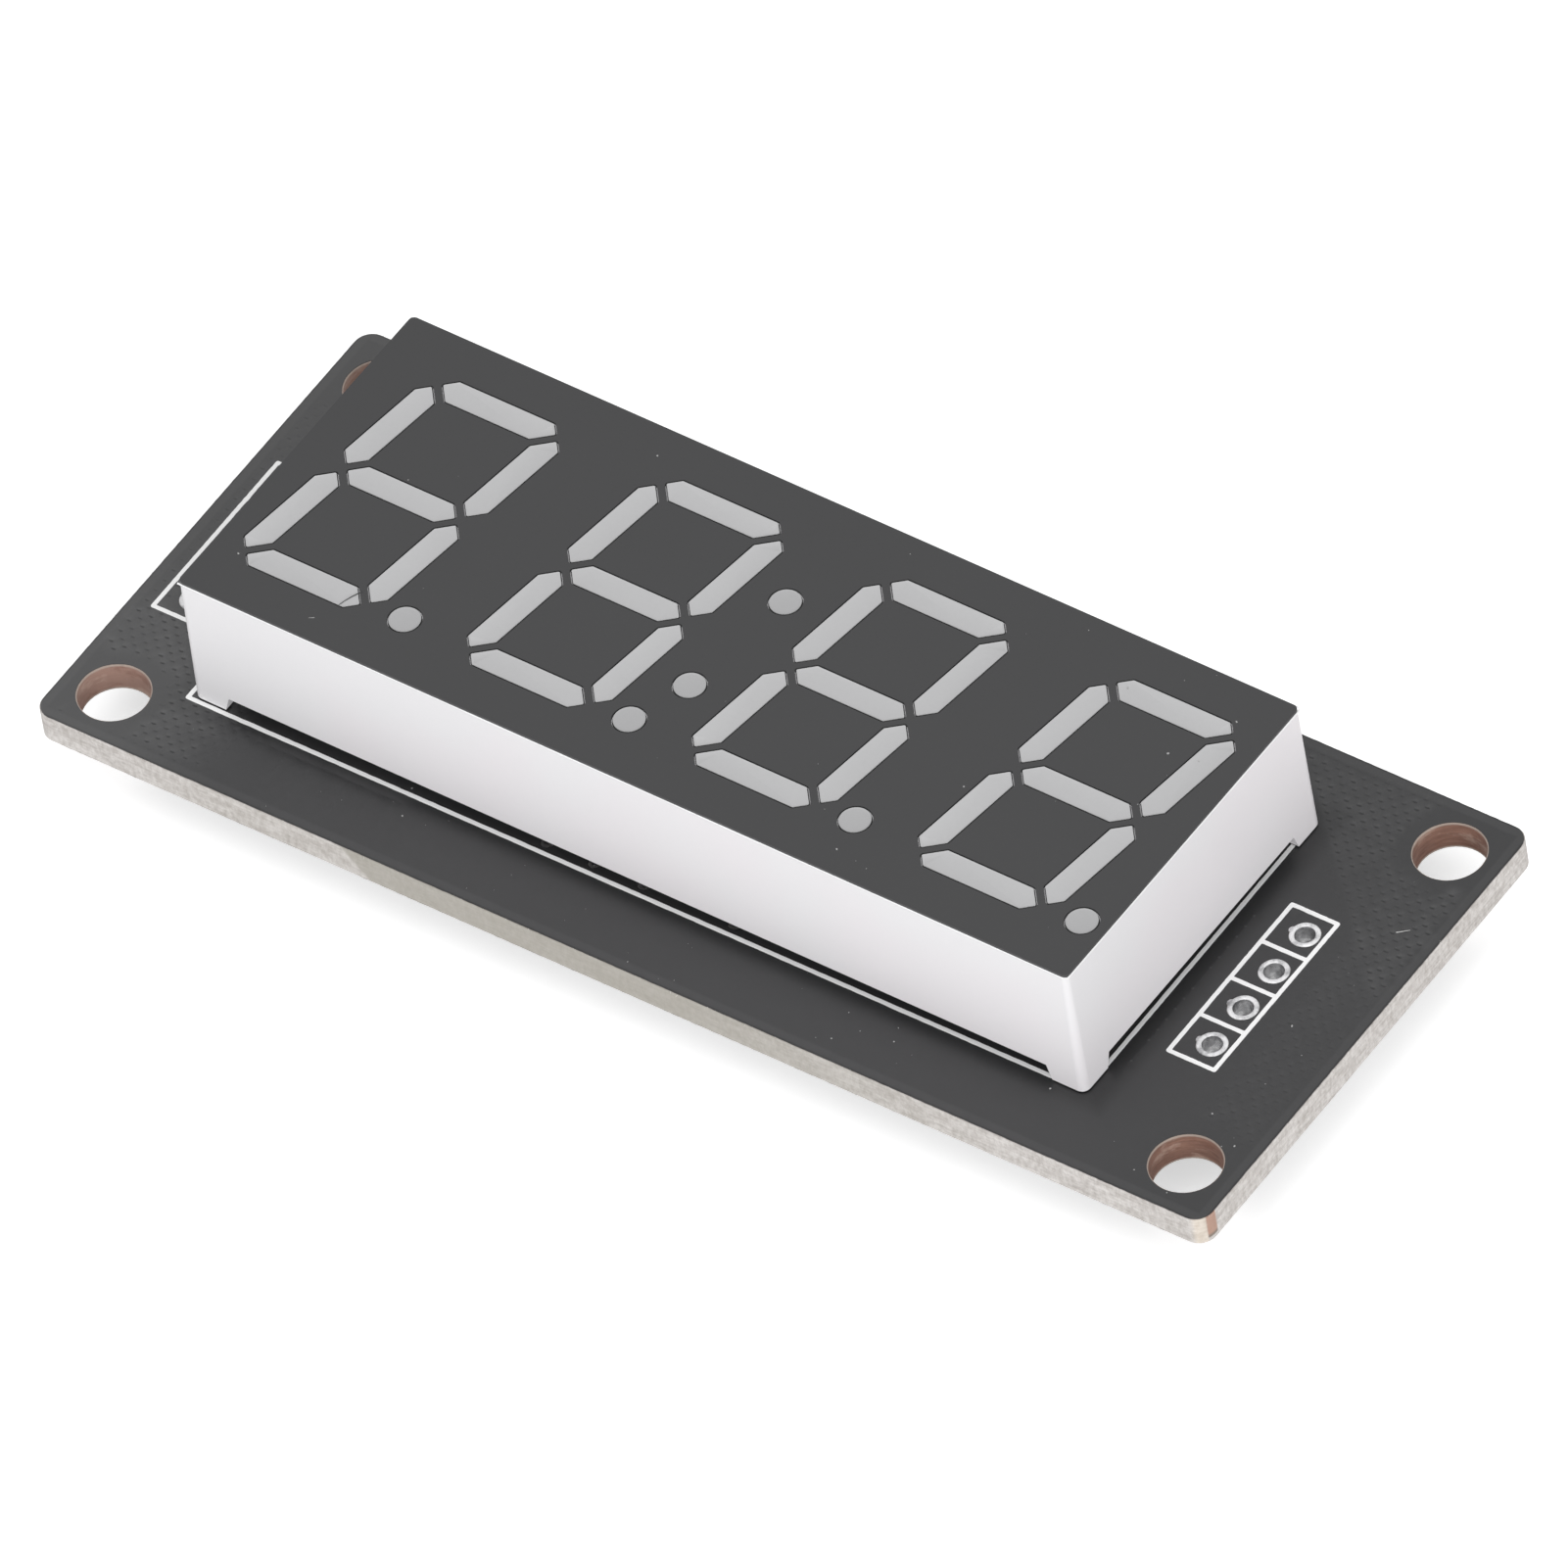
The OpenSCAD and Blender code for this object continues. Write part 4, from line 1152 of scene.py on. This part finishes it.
class DISPLAY_OT_copper_traces(bpy.types.Operator):
    """Raise the copper traces that show under the mask"""

    bl_idname = "display_module.copper_traces"
    bl_label = "Copper traces"

    def execute(self, context):
        s = sizes()
        base = path_mesh("traces", [raised(path, BOARD_UNDER - s.mask_t) for path in self.paths()])
        grow("underside_traces", base, trace_tree(), "black_laminate", "mask",
             {"Width": s.trace_w, "Height": s.trace_h, "Corner": 0.4 * MM})
        return {"FINISHED"}

    @staticmethod
    def paths():
        """Traces from the chip's leads to the display's pins, and from the chip to the header rows."""
        pins = [c for c, _ in solids_of("pin_lands")]
        lands = [(c, h) for c, h in solids_of("surface_lands")
                 if h[1] > 2 * h[0] and abs(c[1] - CHIP_MID.y) > 4 * MM]
        paths = []
        for sign in (-1, 1):
            row = sorted(p for p in pins if (p[1] - CHIP_MID.y) * sign > 0)
            leads = sorted((c[0], c[1] + sign * h[1]) for c, h in lands if (c[1] - CHIP_MID.y) * sign > 0)
            for k, pin in enumerate(row):
                x, y = leads[round(k * (len(leads) - 1) / (len(row) - 1))]
                paths.append([(x, y - sign * 0.1 * MM), (x, pin[1] - sign * abs(pin[0] - x)), pin])
        # The side, its sign, where its traces start, the gap between two and how far they are moved in Y
        for side, sign, start, gap, shift in (("right", 1, CHIP_HI.x + 0.4 * MM, 0.8 * MM, 0),
                                              ("left", -1, CHIP_LO.x - 0.4 * MM, 0.45 * MM, 0.75 * MM)):
            holes = header_row(side)[0]
            for k, hole in enumerate(holes):
                y = CHIP_MID.y + (k - (len(holes) - 1) / 2) * gap + shift
                bend = hole.x - sign * 4.5 * MM
                turn_x = bend - sign * abs(hole.y - y)
                paths.append([(start, y), (turn_x, y), (bend, hole.y), (hole.x, hole.y)])
        return paths


class DISPLAY_OT_tinned_rings(bpy.types.Operator):
    """Dome the tin on the header rings, front and back"""

    bl_idname = "display_module.tinned_rings"
    bl_label = "Tinned rings"

    def execute(self, context):
        tree = ring_tree()
        for side, seed in zip(SIDES, (5, 8)):
            holes, hole_r, _, _ = header_row(side)
            node = "header_lands_" + side
            lo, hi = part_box(node)
            ring_r = solids_of(node)[0][1][1]
            base = mesh_of("points", [(hole.x, hole.y, z) for z in (hi.z, lo.z) for hole in holes])
            grow("tinned_rings_" + side, base, tree, "tinned_land", "bead", {
                "Radius": (ring_r + hole_r) / 2, "Width": ring_r - hole_r, "Rise": sizes().tin_dome,
                "Unevenness": 0.05 * MM, "Seed": seed})
        return {"FINISHED"}


class DISPLAY_OT_segment_resin(bpy.types.Operator):
    """Give the segments and dots their cast resin, a little lower inside a thin rim"""

    bl_idname = "display_module.segment_resin"
    bl_label = "Segment resin"

    def execute(self, context):
        s = sizes()
        for node, name, key in (("segment_guides", "segment_resin", "resin"),
                                ("dot_guides", "dot_resin", "dot")):
            bm = cad_copy(node)
            top = max(v.co.z for v in bm.verts)
            caps = [f for f in bm.faces if all(abs(v.co.z - top) < LEVEL for v in f.verts)]
            loops = outer_loops(caps)
            window = [f for f in bm.faces if all(v.co.z > FILM_LO.z - LEVEL for v in f.verts)
                      and any(abs(v.co.z - top) < LEVEL for v in f.verts)]
            bmesh.ops.delete(bm, geom=window, context="FACES_ONLY")
            for loop in loops:
                self.cast(bm, loop, inset_convex(loop, s.resin_play), top, s)
            bmesh.ops.remove_doubles(bm, verts=bm.verts, dist=MERGE)
            obj = mesh_object(name, bm)
            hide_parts(node)
            add_piece(obj, key)
        return {"FINISHED"}

    @staticmethod
    def cast(bm, loop, edge, top, s):
        """One window's resin: the floor of the gap round it, its side and its dipped face."""
        fill(bm, [loop, edge], FILM_LO.z, smooth=False)
        wall(bm, edge, FILM_LO.z, top)
        # Rings from the rim inwards, as shares of the rim's width and of the dip
        inner = [(x, y, -s.rim_drop * drop) for share, drop in ((0.35, 0.3), (0.7, 0.8), (1.0, 1.0))
                 for x, y in inset_convex(edge, s.rim_w * share)]
        fill(bm, [edge], top, inner)


class DISPLAY_OT_film_lip(bpy.types.Operator):
    """Run the case's thin white lip round the face film, broken along the left and the back; its extra
    whiteness is a painted highlight
    """

    bl_idname = "display_module.film_lip"
    bl_label = "Lip round the film"

    def execute(self, context):
        lip = sizes().case_lip
        tree = lip_tree()
        a, b, c, d = display_corners(FILM_LO, FILM_HI)
        # Each half of the lip: its corners, height, thickness, thinnest share and seed
        for name, path, z, thick, least, seed in (
                ("film_lip_front", [a, b, c], FILM_LO.z - 0.03 * MM, lip, 0.8, 2),
                ("film_lip_back", [c, d, a], FILM_HI.z - lip, lip * 0.6, 0.15, 6)):
            grow(name, path_mesh(name, [raised(path, z)]), tree, "white_case", "lip",
                 {"Thickness": thick, "Least": least, "Patch Scale": 260.0, "Seed": seed})
        return {"FINISHED"}


class DISPLAY_OT_dust(bpy.types.Operator):
    """Strew a little dust over the face and the board"""

    bl_idname = "display_module.dust"
    bl_label = "Dust"

    def execute(self, context):
        s = sizes()
        tree = dust_tree()
        front = corners(BOARD_LO.x + MM, BOARD_LO.y + 0.3 * MM, BOARD_HI.x - MM, CASE_LO.y - 0.2 * MM)
        side = corners(CASE_HI.x + 5 * MM, CASE_LO.y, BOARD_HI.x - 0.6 * MM, 8.6 * MM)
        mask_top = BOARD_TOP + s.mask_t
        face = display_corners(FILM_LO, FILM_HI, 0.2 * MM)
        # Each dusty place: its corners, height, slot, number of specks and seed
        for name, loop, z, slot, count, seed in (
                ("face_dust", face, FILM_HI.z, "dark_film", s.dust_count, 4),
                ("board_dust", front, mask_top, "black_laminate", s.board_dust, 9),
                ("side_dust", side, mask_top, "black_laminate", 12, 14)):
            grow(name, mesh_of(name, raised(loop, z), faces=[(0, 1, 2, 3)]), tree, slot, "dust",
                 {"Count": count, "Size Min": 0.012 * MM, "Size Max": 0.055 * MM, "Seed": seed})
        return {"FINISHED"}


class DISPLAY_OT_edge_fibres(bpy.types.Operator):
    """Leave broken glass fibres along the board's routed edges"""

    bl_idname = "display_module.edge_fibres"
    bl_label = "Edge fibres"

    def execute(self, context):
        loop = board_outline(0.02 * MM)
        heights = (BOARD_TOP - 0.01 * MM, BOARD_UNDER + 0.03 * MM)
        base = path_mesh("fibres", [raised(loop + loop[:1], z) for z in heights])
        grow("edge_fibres", base, fibre_tree(), "black_laminate", "fibre", {
            "Spacing": 0.42 * MM, "Length": 0.07 * MM, "Thickness": 0.018 * MM, "Share": 0.4, "Seed": 3})
        return {"FINISHED"}


class DISPLAY_OT_marks(bpy.types.Operator):
    """Lay a hair across the first digit's lowest segment, and a lint fibre on the face and on the board"""

    bl_idname = "display_module.marks"
    bl_label = "Hair and lint"

    def execute(self, context):
        on_film, on_mask = FILM_HI.z + 0.004 * MM, BOARD_TOP + sizes().mask_t + 0.02 * MM
        # Each strand: its points in millimetres, height, radius, finish and slot
        self.strand("face_hair", [(-18.50, -5.56), (-18.71, -5.89), (-18.89, -6.27), (-19.0, -6.76)],
                    on_film, 0.026 * MM, "hair", "dark_film")
        self.strand("face_lint", [(-19.55, -7.95), (-19.62, -8.02), (-19.7, -8.04), (-19.78, -8.1)],
                    on_film, 0.016 * MM, "dust", "dark_film")
        self.strand("board_lint", [(30.72, 5.5), (30.9, 5.62), (31.05, 5.8), (31.22, 5.92)],
                    on_mask, 0.032 * MM, "dust", "black_laminate")
        return {"FINISHED"}

    @staticmethod
    def strand(name, points, z, radius, key, slot):
        curve = bpy.data.curves.new(name, "CURVE")
        curve.dimensions = "3D"
        curve.bevel_depth, curve.bevel_resolution = radius, 2
        curve.use_fill_caps = True
        spline = curve.splines.new("NURBS")
        spline.points.add(len(points) - 1)
        for i, ((x, y), target) in enumerate(zip(points, spline.points)):
            target.co = (x * MM, y * MM, z, 1)
            target.radius = 1.0 if i < len(points) / 2 else 0.55
        spline.use_endpoint_u = True
        spline.order_u = 4
        obj = new_object(name, curve)
        mesh = plain_mesh(obj)
        bpy.data.objects.remove(obj)
        for polygon in mesh.polygons:
            polygon.use_smooth = True
        add_piece(new_object(name, mesh), key)


class DISPLAY_OT_stage(bpy.types.Operator):
    """Set the floor, the soft light and the camera"""

    bl_idname = "display_module.stage"
    bl_label = "Stage"

    def execute(self, context):
        stage = context.scene.module_stage
        half = 1.5
        floor = new_object("floor", mesh_of("floor", raised(corners(-half, -half, half, half), 0),
                                            faces=[(0, 1, 2, 3)]))
        floor.data.materials.append(self.floor_material(stage))

        world = bpy.data.worlds.new("even_sky")
        context.scene.world = world
        world.use_nodes = True
        back = next(n for n in world.node_tree.nodes if n.type == "BACKGROUND")
        set_input(back.inputs["Color"], (1, 1, 1))
        set_input(back.inputs["Strength"], stage.sky)

        self.soft_light("key_light", (-0.12, -0.10, 0.75), 0.7, stage.key)
        self.soft_light("front_light", (0.655, -0.64, 0.36), 0.6, stage.fill)
        self.camera(stage)
        context.scene.view_settings.view_transform = "Standard"
        return {"FINISHED"}

    @staticmethod
    def floor_material(stage):
        """A pale floor that the camera and reflections see a little nearer to white."""
        dull = {"Roughness": 0.9, "Specular IOR Level": 0.0}
        made, tree, shader = new_material("pale_floor", stage.floor, dull)
        got = grain(tree, stage.floor, 0.9, (3.0, 0.01), (400.0, 0.0), 0.0)
        set_input(shader.inputs["Base Color"], got["Color"])
        path = tree.nodes.new("ShaderNodeLightPath")
        camera, glossy, through = (Value(path.outputs[kind + " Ray"])
                                   for kind in ("Is Camera", "Is Glossy", "Is Transmission"))
        seen = camera.math("MAXIMUM", glossy.math("MAXIMUM", through))
        lift = add(tree, "ShaderNodeEmission", {"Color": (1, 1, 1), "Strength": seen * stage.floor_lift})
        both = add(tree, "ShaderNodeAddShader", {0: Value(shader.outputs[0]), 1: lift})
        output = next(n for n in tree.nodes if n.type == "OUTPUT_MATERIAL")
        set_input(output.inputs["Surface"], both)
        return made

    @staticmethod
    def soft_light(name, place, size, power):
        data = bpy.data.lights.new(name, "AREA")
        data.shape, data.size, data.energy = "DISK", size, power
        lamp = new_object(name, data)
        lamp.location = place
        lamp.rotation_mode = "QUATERNION"
        lamp.rotation_quaternion = Vector(place).to_track_quat("Z", "Y")

    @staticmethod
    def camera(stage):
        a, e = stage.azimuth, stage.elevation
        back = Vector((math.sin(a) * math.cos(e), -math.cos(a) * math.cos(e), math.sin(e)))
        right = Vector((math.cos(a), math.sin(a), 0))
        up = back.cross(right)
        side = right * math.cos(stage.roll) + up * math.sin(stage.roll)
        turn = Matrix((side, back.cross(side), back)).transposed()
        aim = Vector((stage.aim_x, stage.aim_y, BOARD_TOP))
        data = bpy.data.cameras.new("camera")
        data.sensor_width, data.lens = 36, stage.lens
        data.clip_start, data.clip_end = 0.2, 12
        camera = new_object("camera", data)
        camera.matrix_world = Matrix.Translation(aim + back * stage.distance) @ turn.to_4x4()
        bpy.context.scene.camera = camera


STEPS = (DISPLAY_OT_cad_finishes, DISPLAY_OT_solder_mask, DISPLAY_OT_printed_lines, DISPLAY_OT_copper_traces,
         DISPLAY_OT_tinned_rings, DISPLAY_OT_segment_resin, DISPLAY_OT_film_lip, DISPLAY_OT_dust,
         DISPLAY_OT_edge_fibres, DISPLAY_OT_marks, DISPLAY_OT_stage)


class DISPLAY_PT_module(bpy.types.Panel):
    """Builds the display module step by step"""

    bl_idname = "DISPLAY_PT_module"
    bl_label = "Display Module"
    bl_space_type = "VIEW_3D"
    bl_region_type = "UI"
    bl_category = "Display Module"

    def draw(self, context):
        for step in STEPS:
            self.layout.operator(step.bl_idname)
        for label, owner in (("Sizes", context.scene.module_sizes), ("Finishes", context.scene.module_finish),
                             ("Stage", context.scene.module_stage)):
            box = self.layout.box()
            box.label(text=label)
            for key in owner.__annotations__:
                box.prop(owner, key)


CLASSES = (ModuleSizes, ModuleFinish, StageSetup, *STEPS, DISPLAY_PT_module)


def register():
    for cls in CLASSES:
        bpy.utils.register_class(cls)
    bpy.types.Scene.module_sizes = PointerProperty(type=ModuleSizes)
    bpy.types.Scene.module_finish = PointerProperty(type=ModuleFinish)
    bpy.types.Scene.module_stage = PointerProperty(type=StageSetup)


def unregister():
    del bpy.types.Scene.module_stage, bpy.types.Scene.module_finish, bpy.types.Scene.module_sizes
    for cls in reversed(CLASSES):
        bpy.utils.unregister_class(cls)


def main():
    register()
    for step in STEPS:
        area, name = step.bl_idname.split(".")
        getattr(getattr(bpy.ops, area), name)()


if __name__ == "__main__":
    main()
